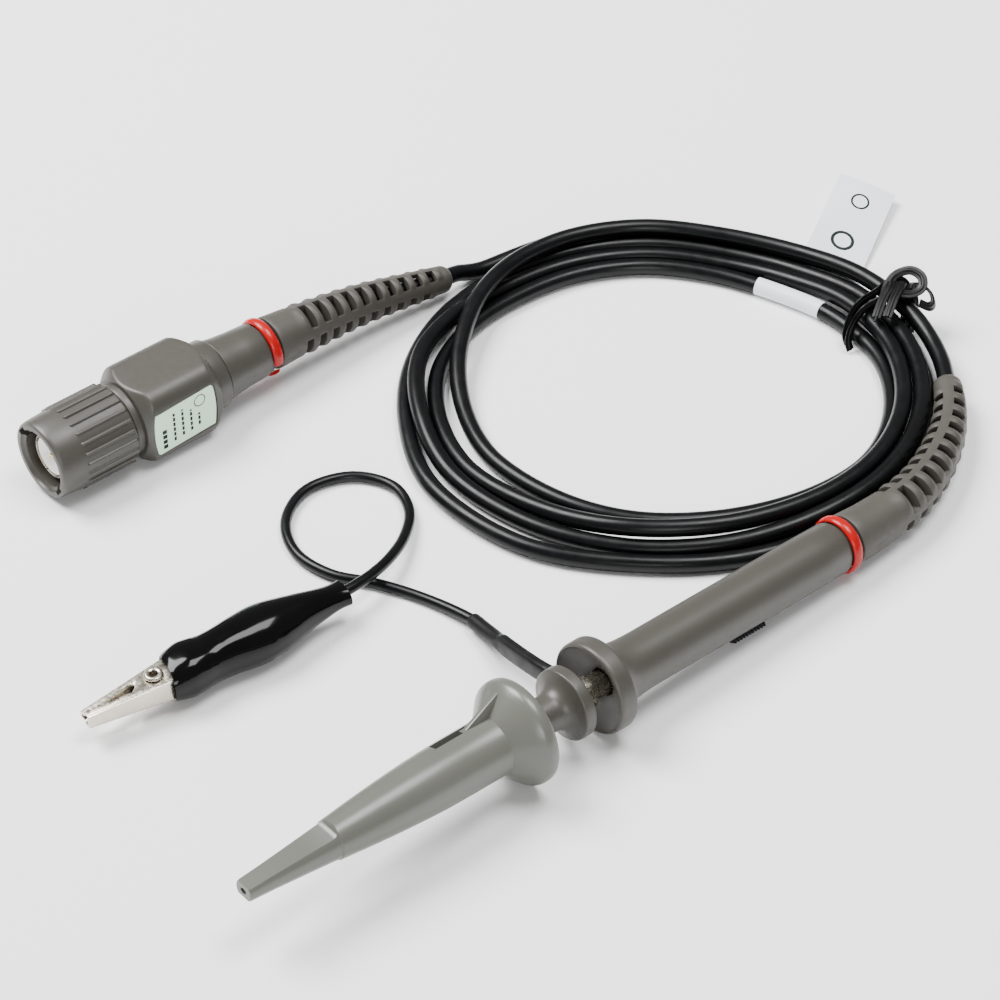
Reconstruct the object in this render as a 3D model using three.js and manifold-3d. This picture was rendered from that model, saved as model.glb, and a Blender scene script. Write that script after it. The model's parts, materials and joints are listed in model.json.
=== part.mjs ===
// Passive x1/x10 oscilloscope probe with its sprung hook adapter, ground lead and BNC plug,
// lying on a table with its coax cable wound into a tied coil.
// Millimetres, +Z up. The probe head lies along +X, tip first; its axis dips slightly to the rear
// because the head rests on the wide collar of the hook adapter.
import * as THREE from 'three';
import { mergeVertices } from 'three/addons/utils/BufferGeometryUtils.js';
import Module from 'manifold-3d';

const wasm = await Module();
wasm.setup();

// ---------------------------------------------------------------- driving dimensions
const GAP = 0.3;                 // running gap kept between separate pieces

const TIP_X = -50;               // nose tip, measured from the adapter's collar
const COLLAR_R = 8.45;           // adapter collar, the front foot of the probe
const BODY_R = 4.45;             // probe body
const BODY_END = 69;             // rear face of the probe body's spigot
const GUARD_X = 14.3;            // front edge of the finger guard
const GUARD_R = 7.5;
const DISH_R = 5.75;             // rear dish of the adapter core
const RING_R = 4.85;             // colour ring on the probe head
const RING_X = 67.7;
const BARREL_R = 1.95;           // metal ground barrel at the probe's front

const BOARD_ROLL = 150;          // degrees the slide switch is turned from straight up
const SWITCH_TRAVEL = 2.2;

const COAX_R = 1.5;
const COIL = { x: 76.5, y: 50, inner: 32.4, outer: 45.6, height: 3.05 };

const BNC = { x: -16.4, y: 97.3, z: 7.3 };
const NUT_R = 7.25;
const NUT_LENGTH = 14.8;
const BOX_HALF = 7.2;            // half the width of the compensation box
const BOX_START = 16.4;
const BOX_END = 31.5;

const LEAD_R = 0.9;              // ground lead
const CLIP = { x: -31.5, y: 46.2, z: 4.4, turn: -5 };
const BOOT_LENGTH_PROBE = 48;
const BOOT_LENGTH_BNC = 38.5;

const DEG = Math.PI / 180;
const HEAD_DIP = Math.atan2(COLLAR_R - RING_R - 0.1, RING_X);
const HEAD_Z = COLLAR_R * Math.cos(HEAD_DIP);

// ---------------------------------------------------------------- materials
const plain = (color, roughness, metalness = 0) =>
  new THREE.MeshStandardMaterial({ color, roughness, metalness });
const paint = {
  sleeve: plain(0x95978f, 0.35),
  grey: plain(0x6f6d67, 0.6),
  dark: plain(0x5c5a55, 0.6),
  red: plain(0xd01818, 0.3),
  coax: plain(0x17181a, 0.45),
  vinyl: plain(0x0a0a0b, 0.15),
  black: plain(0x1b1b1d, 0.6),
  nickel: plain(0xd8d2c4, 0.28, 1),
  steel: plain(0xb8bac0, 0.3, 1),
  gold: plain(0xe0b050, 0.25, 1),
  brass: plain(0xc9a34e, 0.35, 1),
  white: plain(0xf0f0ee, 0.5),
  board: plain(0x1f6b3a, 0.5),
  mint: plain(0xd4f2dc, 0.5),
  ceramic: plain(0xc98b3c, 0.5),
  resistor: plain(0x3d78a8, 0.4),
};

// ---------------------------------------------------------------- solid helpers
// Merge shared corners and drop the empty triangles found where a lathe meets its axis.
function cleaned(geometry) {
  const bare = geometry.clone();
  bare.deleteAttribute('normal');
  bare.deleteAttribute('uv');
  const merged = mergeVertices(bare, 1e-4);
  const kept = [];
  const index = merged.index.array;
  for (let i = 0; i < index.length; i += 3) {
    const [a, b, c] = [index[i], index[i + 1], index[i + 2]];
    if (a !== b && b !== c && c !== a) kept.push(a, b, c);
  }
  merged.setIndex(kept);
  return merged;
}

function toSolid(geometry) {
  const merged = cleaned(geometry);
  return new wasm.Manifold(new wasm.Mesh({
    numProp: 3,
    vertProperties: new Float32Array(merged.attributes.position.array),
    triVerts: new Uint32Array(merged.index.array),
  }));
}

function toGeometry(solid) {
  const mesh = solid.getMesh();
  const geometry = new THREE.BufferGeometry();
  geometry.setAttribute('position', new THREE.BufferAttribute(new Float32Array(mesh.vertProperties), 3));
  geometry.setIndex(new THREE.BufferAttribute(new Uint32Array(mesh.triVerts), 1));
  geometry.computeVertexNormals();
  return geometry;
}

// base plus and minus whole lists of geometries
function combine(base, { add = [], cut = [] }) {
  let solid = toSolid(base);
  for (const piece of add) solid = solid.add(toSolid(piece));
  for (const piece of cut) solid = solid.subtract(toSolid(piece));
  return toGeometry(solid);
}

// Turn an outline of [x, r] points about X. Outer points run towards +x and inner ones back.
function lathe(outline, segments = 28) {
  const points = outline.map(([x, r]) => new THREE.Vector2(r, x));
  const onAxis = outline[0][1] === 0 && outline[outline.length - 1][1] === 0;
  if (!onAxis) points.push(points[0].clone());
  return new THREE.LatheGeometry(points, segments).rotateZ(-Math.PI / 2);
}

function rod(x0, x1, r, segments = 16) {
  return lathe([[x0, 0], [x0, r], [x1, r], [x1, 0]], segments);
}

function sleeve(x0, x1, outer, inner, segments = 20) {
  return lathe([[x0, outer], [x1, outer], [x1, inner], [x0, inner]], segments);
}

function block(x0, x1, y0, y1, z0, z1) {
  return new THREE.BoxGeometry(x1 - x0, y1 - y0, z1 - z0)
    .translate((x0 + x1) / 2, (y0 + y1) / 2, (z0 + z1) / 2);
}

// Straight prism along X from an outline of [y, z] points.
function prismX(outline, x0, x1) {
  const shape = new THREE.Shape(outline.map(([y, z]) => new THREE.Vector2(y, z)));
  return new THREE.ExtrudeGeometry(shape, { depth: x1 - x0, bevelEnabled: false })
    .applyMatrix4(new THREE.Matrix4().makeBasis(
      new THREE.Vector3(0, 1, 0), new THREE.Vector3(0, 0, 1), new THREE.Vector3(1, 0, 0)))
    .translate(x0, 0, 0);
}

// Straight prism along Z from an outline of [x, y] points.
function prismZ(outline, z0, z1) {
  const shape = new THREE.Shape(outline.map(([x, y]) => new THREE.Vector2(x, y)));
  return new THREE.ExtrudeGeometry(shape, { depth: z1 - z0, bevelEnabled: false }).translate(0, 0, z0);
}

function roundedSquare(half, corner, perCorner = 5) {
  const points = [];
  for (let quarter = 0; quarter < 4; quarter += 1) {
    const middle = (quarter + 0.5) * 90 * DEG;
    const cy = Math.sign(Math.cos(middle)) * (half - corner);
    const cz = Math.sign(Math.sin(middle)) * (half - corner);
    for (let i = 0; i <= perCorner; i += 1) {
      const angle = (quarter * 90 + (90 * i) / perCorner) * DEG;
      points.push([cy + corner * Math.cos(angle), cz + corner * Math.sin(angle)]);
    }
  }
  return points;
}

function curveThrough(points) {
  return new THREE.CatmullRomCurve3(points.map((p) => new THREE.Vector3(...p)), false, 'centripetal');
}

function oval(halfU, halfV, sides) {
  const shape = new THREE.Shape();
  for (let i = 0; i < sides; i += 1) {
    const angle = (2 * Math.PI * i) / sides;
    const [u, v] = [halfU * Math.cos(angle), halfV * Math.sin(angle)];
    if (i === 0) shape.moveTo(u, v);
    else shape.lineTo(u, v);
  }
  shape.closePath();
  return shape;
}

// Round tube along a curve.
function tube(curve, radius, sides, steps) {
  return new THREE.ExtrudeGeometry(oval(radius, radius, sides), {
    extrudePath: curve, steps, bevelEnabled: false,
  });
}

// Bend a piece built along X from 0 to length so that it follows a nearly level curve.
function bend(geometry, curve, length) {
  const up = new THREE.Vector3(0, 0, 1);
  const position = geometry.attributes.position;
  for (let i = 0; i < position.count; i += 1) {
    const along = position.getX(i);
    const u = THREE.MathUtils.clamp(along / length, 0, 1);
    const tangent = curve.getTangentAt(u);
    const side = new THREE.Vector3().crossVectors(up, tangent).normalize();
    const rise = new THREE.Vector3().crossVectors(tangent, side);
    const point = curve.getPointAt(u)
      .addScaledVector(tangent, along - u * length)
      .addScaledVector(side, position.getY(i))
      .addScaledVector(rise, position.getZ(i));
    position.setXYZ(i, point.x, point.y, point.z);
  }
  return geometry;
}

// Skin through sections [x, half width in y, half height in z]; squareness 1 is an ellipse and
// lower values fill the corners.
function loft(sections, sides = 20, squareness = 1) {
  const vertices = [];
  const faces = [];
  const full = (value) => Math.sign(value) * Math.abs(value) ** squareness;
  for (const [x, halfY, halfZ] of sections) {
    for (let i = 0; i < sides; i += 1) {
      const angle = (2 * Math.PI * (i + 0.5)) / sides;
      vertices.push(x, halfY * full(Math.cos(angle)), halfZ * full(Math.sin(angle)));
    }
  }
  for (let row = 0; row + 1 < sections.length; row += 1) {
    for (let i = 0; i < sides; i += 1) {
      const a = row * sides + i;
      const b = row * sides + ((i + 1) % sides);
      faces.push(a, b, b + sides, a, b + sides, a + sides);
    }
  }
  const last = (sections.length - 1) * sides;
  for (let i = 1; i + 1 < sides; i += 1) {
    faces.push(0, i + 1, i);
    faces.push(last, last + i, last + i + 1);
  }
  const geometry = new THREE.BufferGeometry();
  geometry.setAttribute('position', new THREE.Float32BufferAttribute(vertices, 3));
  geometry.setIndex(faces);
  return geometry;
}

// Open colour ring: a C of oval section about X.
function openRing(x, radius, halfWidth, halfThick, gapDegrees) {
  const points = [];
  const count = 20;
  for (let i = 0; i <= count; i += 1) {
    const angle = (-90 + gapDegrees / 2 + ((360 - gapDegrees) * i) / count) * DEG;
    points.push([x, radius * Math.cos(angle), radius * Math.sin(angle)]);
  }
  return new THREE.ExtrudeGeometry(oval(halfWidth, halfThick, 8), {
    extrudePath: curveThrough(points), steps: count, bevelEnabled: false,
  });
}

function named(name, geometry, material) {
  const mesh = new THREE.Mesh(geometry, material);
  mesh.name = name;
  return mesh;
}

const probe = new THREE.Group();
const head = new THREE.Group();
head.position.z = HEAD_Z;
head.rotation.y = HEAD_DIP;
probe.add(head);

// A point of the probe's axis in the part's own frame.
const onHeadAxis = (x) => [x * Math.cos(HEAD_DIP), 0, HEAD_Z - x * Math.sin(HEAD_DIP)];

// ---------------------------------------------------------------- hook adapter
// Sliding nose sleeve: pull it back towards the dish and the hook comes out of the tip.
function noseSleeve() {
  const boreR = 3.3;
  const shoulderX = -27;
  const outside = lathe([
    [TIP_X, 0], [TIP_X, 1.7], [-46, 1.97], [-40, 2.48], [-35, 2.9], [-34.6, 3.15], [-28, 3.78],
    [-22, 4.25], [-16, 4.58], [-6.6, 4.63], [-4.6, 5.15], [-2.9, 6.3], [-1.6, 7.8], [-0.9, 8.3],
    [-0.3, COLLAR_R], [0.5, COLLAR_R], [1, 8.2], [1, 0],
  ], 28);
  const inside = lathe([
    [shoulderX, 0], [shoulderX, boreR], [-3.6, boreR], [-1.9, 5], [-0.4, 7.2], [1.5, 7.5], [1.5, 0],
  ], 24);
  const hookBore = rod(TIP_X + 3, shoulderX + 1, 0.85, 12);
  const hookSlot = block(TIP_X - 1, TIP_X + 7, -1.3, 1.3, -0.68, 0.68);
  // Flats above and below turn the round nose into a chisel.
  const flatTop = prismX([[-6, 0], [6, 0], [6, 6], [-6, 6]], 0, 20)
    .rotateY(-4.2 * DEG).translate(TIP_X - 0.2, 0, 1.12);
  const flatTopEnd = block(-34.6, -20, -6, 6, -3, 8);
  const topCut = combine(flatTop, { cut: [flatTopEnd] });
  const bottomCut = toGeometry(toSolid(topCut).rotate([180, 0, 0]));
  // Window over the bore, with a narrow slot behind it, and a gusset behind that.
  const windowWide = block(-13.7, -9.6, -1, 1, 2.4, 6).rotateX(-33 * DEG);
  const windowSlot = block(-9.7, -6.4, -1, 0.1, 2.4, 6).rotateX(-33 * DEG);
  const gusset = prismZ([[-6.8, 4.3], [-6.4, 4.66], [-1.4, 8.1], [-1.2, 7], [-4, 4.4]], -0.35, 0.35)
    .rotateX(69 * DEG);
  return combine(outside, {
    add: [gusset],
    cut: [inside, hookBore, hookSlot, topCut, bottomCut, windowWide, windowSlot],
  });
}

// Spool that the fingers hold: dish, waist, and the tube that the sleeve rides on.
function hookCore() {
  const tubeR = 2.95;
  return lathe([
    [-12.2, tubeR - 0.3], [-11.9, tubeR], [6, tubeR], [6.9, 3.2], [7.8, 3.9], [8.6, 5], [8.8, 5.6],
    [9.1, DISH_R], [10.5, DISH_R], [10.7, 5.5], [10.3, 4.6], [9.8, BARREL_R + GAP],
    [-3.2, BARREL_R + GAP], [-3.2, 1.6], [-12.2, 1.6],
  ], 24);
}

function hookSpring() {
  const coils = 6;
  const perCoil = 8;
  const points = [];
  for (let i = 0; i <= coils * perCoil; i += 1) {
    const angle = (2 * Math.PI * i) / perCoil;
    points.push([-26.4 + (13.6 * i) / (coils * perCoil), 2.2 * Math.cos(angle), 2.2 * Math.sin(angle)]);
  }
  return tube(curveThrough(points), 0.28, 5, coils * perCoil);
}

const hookWire = () => tube(curveThrough([
  [-12.6, 0, 0], [-30, 0, 0], [-46, -0.3, 0], [-48.4, -0.5, 0], [-49.3, -0.1, 0], [-49.1, 0.55, 0],
  [-48.2, 0.7, 0], [-47.4, 0.55, 0],
]), 0.34, 6, 26);

head.add(
  named('nose_sleeve', noseSleeve(), paint.sleeve),
  named('hook_core', hookCore(), paint.grey),
  named('hook_spring', hookSpring(), paint.steel),
  named('hook_wire', hookWire(), paint.steel),
  named('hook_socket', sleeve(-12.2, -5.4, 1.28, 0.72, 16), paint.brass),
);

// ---------------------------------------------------------------- probe front: barrel, insulator, tip
head.add(
  named('ground_barrel', sleeve(-2.6, 22, BARREL_R, 1.62, 24), paint.nickel),
  named('tip_insulator', sleeve(-3.1, 20, 1.3, 0.72, 20), paint.white),
  named('tip_pin', lathe([[-8.6, 0], [-8.2, 0.3], [-7.6, 0.4], [23, 0.4], [23, 0]], 12), paint.gold),
  named('front_bushing', sleeve(17.9, 21.4, 3.35, BARREL_R + GAP, 24), paint.black),
);

// ---------------------------------------------------------------- probe body
const BODY_BORE = 3.7;

function bodyShell() {
  const shell = lathe([
    [GUARD_X, 7.1], [GUARD_X + 0.3, 7.45], [GUARD_X + 2.6, GUARD_R], [GUARD_X + 3.2, 7.3],
    [GUARD_X + 3.7, 6.3], [GUARD_X + 5.4, 5.1], [GUARD_X + 8.5, BODY_R], [50, BODY_R + 0.06],
    [66.3, BODY_R - 0.05], [66.5, 3.95], [BODY_END, 3.95], [BODY_END, 3.3], [60, BODY_BORE],
    [GUARD_X + 3.3, BODY_BORE], [GUARD_X + 3.3, BARREL_R + GAP], [GUARD_X + 2, 2.7],
    [GUARD_X + 1.2, 4.6], [GUARD_X + 0.5, 6.7],
  ], 26);
  const switchSlot = block(43.3, 49.9, -1.2, 1.2, 2, 6).rotateX(BOARD_ROLL * DEG);
  return combine(shell, { cut: [switchSlot] });
}

head.add(
  named('body_shell', bodyShell(), paint.grey),
  named('marker_ring_probe', openRing(RING_X, 4.55, 0.95, 0.3, 22), paint.red),
  named('probe_cable_ferrule', sleeve(58.6, 65, 2.3, 1.8, 20), paint.brass),
);

// ---------------------------------------------------------------- inside the body, rolled to the switch
const inner = new THREE.Group();
inner.rotation.x = BOARD_ROLL * DEG;
head.add(inner);

// Thumb button with serrations; its stem goes through the slot into the switch frame.
function switchSlider() {
  const thumb = block(41.8, 49.2, -1.5, 1.5, BODY_R + 0.4, BODY_R + 0.9);
  const teeth = [];
  const toothCount = 12;
  const pitch = 7.4 / toothCount;
  for (let i = 0; i < toothCount; i += 1) {
    const x = 41.8 + pitch * (i + 0.2);
    teeth.push(block(x, x + pitch * 0.5, -1.5, 1.5, BODY_R + 0.8, BODY_R + 1.2));
  }
  const stem = block(44, 46.8, -0.85, 0.85, 1.3, BODY_R + 0.5);
  const foot = block(43, 47.8, -1.1, 1.1, 0.9, 1.6);
  return combine(thumb, { add: [...teeth, stem, foot] });
}

inner.add(
  named('hybrid_board', block(24, 57, -2.7, 2.7, -1, -0.2), paint.board),
  named('switch_frame', combine(block(41.6, 51.4, -1.9, 1.9, 0.1, 2.6), {
    cut: [block(42.4, 50.6, -1.45, 1.45, 0.55, 2), block(43.4, 49.8, -1.2, 1.2, 1.5, 3)],
  }), paint.steel),
  named('switch_slider', switchSlider(), paint.dark),
  named('tip_resistor', rod(26, 32, 0.85, 14).translate(0, -1.1, 1), paint.resistor),
  named('tip_capacitor', block(34, 38, 0.2, 2, 0.1, 1.9), paint.ceramic),
);

// ---------------------------------------------------------------- strain relief boots
// Tapered boot from base radius to cable, with a rounded end, 0 at the base.
const bootOutline = (length, baseR, shoulderX, shoulderR, tipR, extra = 0) => [
  [-extra, 0], [-extra, baseR + extra], [shoulderX, shoulderR + extra], [length - 1.2, tipR + 0.12 + extra],
  [length - 0.4, tipR - 0.1 + extra], [length + extra, tipR - 0.7 + extra], [length + extra, 0],
];

function steppedLathe(outline, step, segments) {
  const points = [];
  for (let i = 0; i + 1 < outline.length; i += 1) {
    const [x0, r0] = outline[i];
    const [x1, r1] = outline[i + 1];
    const parts = Math.max(1, Math.round(Math.abs(x1 - x0) / step));
    for (let k = 0; k < parts; k += 1) points.push([x0 + ((x1 - x0) * k) / parts, r0 + ((r1 - r0) * k) / parts]);
  }
  points.push(outline[outline.length - 1]);
  return lathe(points, segments);
}

// Centre line of the boot on the probe head, which curves round the coil.
const probeBootCurve = curveThrough([
  onHeadAxis(BODY_END + GAP), onHeadAxis(BODY_END + 6), [82.7, 0.4, 4.45], [87.6, 1.4, 4.3],
  [92.6, 3.1, 4.15], [98.3, 5.8, 4], [103.2, 8.8, 3.9], [108.2, 13, 3.8], [112.2, 17.4, 3.7],
]);
const probeBoot = bend(
  steppedLathe(bootOutline(BOOT_LENGTH_PROBE, 4.3, 9, 4.15, 2.5), 3, 16), probeBootCurve, BOOT_LENGTH_PROBE);

const bncBootCurve = curveThrough([
  [BNC.x + 46.7, BNC.y, BNC.z], [BNC.x + 54, BNC.y, BNC.z - 0.4], [BNC.x + 66, BNC.y - 0.2, 5.8],
  [BNC.x + 76, BNC.y - 1, 4.5], [68.2, 95.3, 3.5],
]);
const bncBootShape = (extra) => bend(
  steppedLathe(bootOutline(BOOT_LENGTH_BNC, 4.6, 5, 4.35, 2.45, extra), 4, 16), bncBootCurve, BOOT_LENGTH_BNC);

probe.add(
  named('probe_boot', probeBoot, paint.grey),
  named('bnc_boot', bncBootShape(0), paint.grey),
);

// ---------------------------------------------------------------- coax cable
const onCoil = (degrees, radius, z) =>
  [COIL.x + radius * Math.cos(degrees * DEG), COIL.y + radius * Math.sin(degrees * DEG), z];

function coaxCoil() {
  const bulge = 0.7;
  const outline = [
    [COIL.inner + bulge, 0], [COIL.outer - bulge, 0], [COIL.outer, COIL.height / 2],
    [COIL.outer - bulge, COIL.height], [COIL.inner + bulge, COIL.height],
    [COIL.inner, COIL.height / 2], [COIL.inner + bulge, 0],
  ];
  const ring = new THREE.LatheGeometry(outline.map(([r, z]) => new THREE.Vector2(r, z)), 56)
    .rotateX(Math.PI / 2).translate(COIL.x, COIL.y, 0);
  return combine(ring, { cut: [bncBootShape(GAP + 0.1)] });
}

// The last turn crosses over the others, runs on top of them to the tie and goes to the probe.
const lastTurnCurve = curveThrough([
  onCoil(122, 34.6, 4.9), onCoil(110, 35.8, 4.9), onCoil(98, 37.8, 4.9), onCoil(84, 40.2, 4.9),
  onCoil(68, 42.2, 4.9), onCoil(50, 43, 4.9), onCoil(30, 42.8, 4.9), onCoil(10, 42.8, 4.9),
  onCoil(-4, 43.6, 4.9), onCoil(-14, 45.2, 4.9), onCoil(-22, 46.6, 4.7), [117.8, 26.4, 4.3],
  [115.2, 21.4, 3.9], [113, 18.3, 3.72], [112.45, 17.68, 3.7],
]);

probe.add(
  named('coax_coil', coaxCoil(), paint.coax),
  named('coax_last_turn', tube(lastTurnCurve, COAX_R, 8, 26), paint.coax),
);

// ---------------------------------------------------------------- label flag and wire tie on the cable
// Folded flag: a thin tab that sticks out under the coil's far side.
const flagTab = prismZ([[124.2, 62.4], [123.6, 49], [146.8, 58.8], [141.4, 72]], 0.3, 0.75);

// Flat wire tie closed round the bundle and the last turn.
function wireTie() {
  const [halfW, inside, outside] = [1.3, COIL.inner - GAP, 48];
  const thick = 0.8;
  const top = 7;
  const frame = block(inside - thick, outside + thick, -halfW, halfW, 0.05, top + thick);
  const hole = block(inside, outside, -halfW - 1, halfW + 1, -1, top);
  return combine(frame, { cut: [hole] }).rotateZ(-18 * DEG).translate(COIL.x, COIL.y, 0);
}

probe.add(
  named('label_flag', flagTab, paint.white),
  named('wire_tie', wireTie(), paint.black),
);

// ---------------------------------------------------------------- BNC plug and compensation box
const plug = new THREE.Group();
plug.position.set(BNC.x, BNC.y, BNC.z);
probe.add(plug);

const NUT_BORE = 4.95;
const LUG_GROOVE_R = 5.7;
const BNC_TUBE_R = 4.2;

function couplingNut() {
  const flange = { front: 9.9, back: 11.4, bore: 4.5 };
  const nut = lathe([
    [0, 6.4], [0.5, 6.75], [3.4, 6.95], [4.2, 7], [NUT_LENGTH - 0.3, 7], [NUT_LENGTH, 6.7],
    [NUT_LENGTH, 6], [flange.back, 6], [flange.back, flange.bore], [flange.front, flange.bore],
    [flange.front, LUG_GROOVE_R], [4.4, LUG_GROOVE_R], [4.4, NUT_BORE], [0.5, NUT_BORE], [0, 5.45],
  ], 24);
  const ribs = [];
  const ribCount = 24;
  for (let i = 0; i < ribCount; i += 1) {
    const turn = ((i + 0.5) * 360) / ribCount;
    ribs.push(block(4.6, NUT_LENGTH - 0.9, -0.45, 0.45, 6.6, NUT_R).rotateX(turn * DEG));
  }
  // Two lug slots run from the mouth back into the lug groove.
  const lugSlots = [0, 180].map((turn) => block(-1, 4.8, -1.15, 1.15, 4, 6).rotateX((turn + 50) * DEG));
  return combine(nut, { add: ribs, cut: lugSlots });
}

// Slotted front shell, shoulder for the wave washer, and the tube that goes into the box.
function bncBody() {
  const bore = 3.45;
  const shell = lathe([
    [0.7, 3.85], [1, 4.05], [6.6, 4.05], [6.9, 4.8], [8.2, 4.8], [8.2, BNC_TUBE_R],
    [18.6, BNC_TUBE_R], [18.6, bore], [0.7, bore],
  ], 24);
  const slots = [0, 90, 180, 270].map((turn) => block(0, 4.6, -0.15, 0.15, 3, 5).rotateX((turn + 20) * DEG));
  return combine(shell, { cut: slots });
}

plug.add(
  named('coupling_nut', couplingNut(), paint.grey),
  named('nut_retaining_ring', sleeve(11.7, 12.3, 5.4, BNC_TUBE_R + GAP), paint.steel),
  named('wave_washer', sleeve(9.2, 9.6, 5.3, BNC_TUBE_R + GAP), paint.steel),
  named('bnc_body', bncBody(), paint.nickel),
  named('bnc_gasket', sleeve(5.4, 6.4, 4.75, 4.05 + GAP), paint.red),
  named('bnc_insulator', lathe([
    [1.1, 3.1], [16, 3.12], [16, 1.1], [3.2, 1.1], [2.9, 1.6],
  ], 24), paint.white),
  named('bnc_pin', lathe([[1.6, 0], [1.8, 0.35], [2.6, 0.68], [19, 0.68], [19, 0]], 12), paint.gold),
);

function boxShell() {
  const outside = prismX(roundedSquare(BOX_HALF, 3.4), BOX_START, BOX_END);
  // Chamfers at both ends come from crossing the prism with a lathe of the same length.
  const ends = lathe([
    [BOX_START, 0], [BOX_START, 7], [BOX_START + 2.6, 9.6], [BOX_END - 2.4, 9.6], [BOX_END, 7.2],
    [BOX_END, 0],
  ], 32);
  const cut = toGeometry(toSolid(outside).intersect(toSolid(ends)));
  const boss = rod(NUT_LENGTH + GAP, BOX_START + 1, 6.3, 24);
  const collar = rod(BOX_END - 1, BOX_END + 3, 6.15, 24);
  const hollow = prismX(roundedSquare(BOX_HALF - 1.2, 2.4), BOX_START + 3.2, BOX_END - 1.6);
  const frontHole = rod(NUT_LENGTH - 1, BOX_START + 4, BNC_TUBE_R + GAP, 20);
  const rearHole = rod(BOX_END - 2, BOX_END + 4, 5.05, 20);
  const labelSeat = block(BOX_START + 1.4, BOX_END - 1.6, -BOX_HALF - 1, -BOX_HALF + 0.45, -4.6, 4.6);
  const trimmerHole = rod(0, 4, 1.4, 16).rotateZ(90 * DEG).translate(24, BOX_HALF - 2, 0);
  return combine(cut, { add: [boss, collar], cut: [hollow, frontHole, rearHole, labelSeat, trimmerHole] });
}

plug.add(
  named('box_shell', boxShell(), paint.grey),
  named('box_label', block(BOX_START + 1.7, BOX_END - 1.9, -BOX_HALF - 0.02, -BOX_HALF + 0.15, -4.3, 4.3),
    paint.mint),
  named('neck_sleeve', lathe([
    [BOX_END + 3 + GAP, 5.6], [40, 5.05], [43.8, 4.85], [44, 4.3], [46.1, 4.3], [46.1, 3.2],
    [BOX_END + 3 + GAP, 3.2],
  ], 24), paint.grey),
  named('marker_ring_bnc', openRing(45.05, 4.95, 0.95, 0.3, 40).rotateX(-50 * DEG), paint.red),
  named('comp_board', block(20, 29.5, -3.6, 3.6, -3.6, -2.8), paint.board),
  named('comp_resistor', rod(20.8, 27, 0.8, 14).translate(0, -2.2, -1.7), paint.resistor),
  named('trimmer_body', block(21.4, 26.6, 0.6, 4, -2.5, 2.4), paint.ceramic),
  named('trimmer_rotor', combine(rod(4.3, 5.3, 1.1, 16), {
    cut: [block(5, 6, -0.25, 0.25, -2, 2)],
  }).rotateZ(90 * DEG).translate(24, 0, 0), paint.brass),
  named('bnc_cable_ferrule', sleeve(32, 38.5, 2.4, 1.8, 20), paint.brass),
);

// ---------------------------------------------------------------- ground lead
const onClip = (x, y) => [
  CLIP.x + x * Math.cos(CLIP.turn * DEG) - y * Math.sin(CLIP.turn * DEG),
  CLIP.y + x * Math.sin(CLIP.turn * DEG) + y * Math.cos(CLIP.turn * DEG),
  CLIP.z,
];
const leadCurve = curveThrough([
  onClip(25.2, 0), onClip(30.4, 0), onClip(34, 0.1), [4.4, 43.4, 4.3], [8.6, 44, 3.9], [13.5, 45.6, 3.2], [19.3, 48.8, 2.2],
  [25, 54.3, 1.2], [27, 60.8, 0.95], [23.6, 67, 0.95], [16, 69.4, 0.95], [8.6, 65.6, 0.95],
  [5, 58.4, 0.95], [6, 50.8, 0.95], [10, 44.4, 0.95], [13.6, 36.4, 0.95], [15.1, 28.2, 1.6],
]);
const shrinkCurve = curveThrough([
  [15.15, 27.7, 1.65], [15.2, 22, 2.8], [14.7, 16, 4.6], [13.2, 11, 6.4], [12.6, 5.8, 7.6],
]);

function groundRingClip() {
  const ring = sleeve(11.6, 13.6, 2.75, BARREL_R + GAP, 24);
  const tab = block(12, 13.2, 2.5, 5.3, -0.35, 0.35);
  return combine(ring, { add: [tab] });
}

// Heat-shrink tube, flattened where it covers the clip's tab.
function heatShrink() {
  const length = shrinkCurve.getLength();
  const body = loft([
    [0, 1.3, 1.3], [7, 1.45, 1.4], [11, 1.7, 1.5], [16, 1.5, 1.9], [length, 1.1, 2],
  ], 12);
  return bend(body, shrinkCurve, length);
}

head.add(named('ground_ring_clip', groundRingClip(), paint.nickel));
probe.add(
  named('ground_lead', tube(leadCurve, LEAD_R, 6, 44), paint.coax),
  named('ground_shrink', heatShrink(), paint.black),
);

// ---------------------------------------------------------------- alligator clip, rivet axis upright
const clip = new THREE.Group();
clip.position.set(CLIP.x, CLIP.y, CLIP.z);
clip.rotation.z = CLIP.turn * DEG;
probe.add(clip);

const SHEET = 0.4;               // clip sheet metal
const EAR_OUTER = 1.85;          // outer face of the fixed jaw's cheeks

// Channel from a side outline: two cheeks of that outline joined by a web along its back edge.
function channel(cheek, web, halfOuter) {
  const upper = prismZ(cheek, halfOuter - SHEET, halfOuter);
  const lower = prismZ(cheek, -halfOuter, -halfOuter + SHEET);
  const back = prismZ(web, -halfOuter, halfOuter);
  return { base: back, extras: [upper, lower] };
}

const toothedEdge = (fromX, toX, count, y, depth) => {
  const points = [];
  const pitch = (toX - fromX) / count;
  for (let i = 0; i < count; i += 1) {
    points.push([fromX + pitch * i, y], [fromX + pitch * (i + 0.5), y + depth]);
  }
  return points;
};

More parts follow.
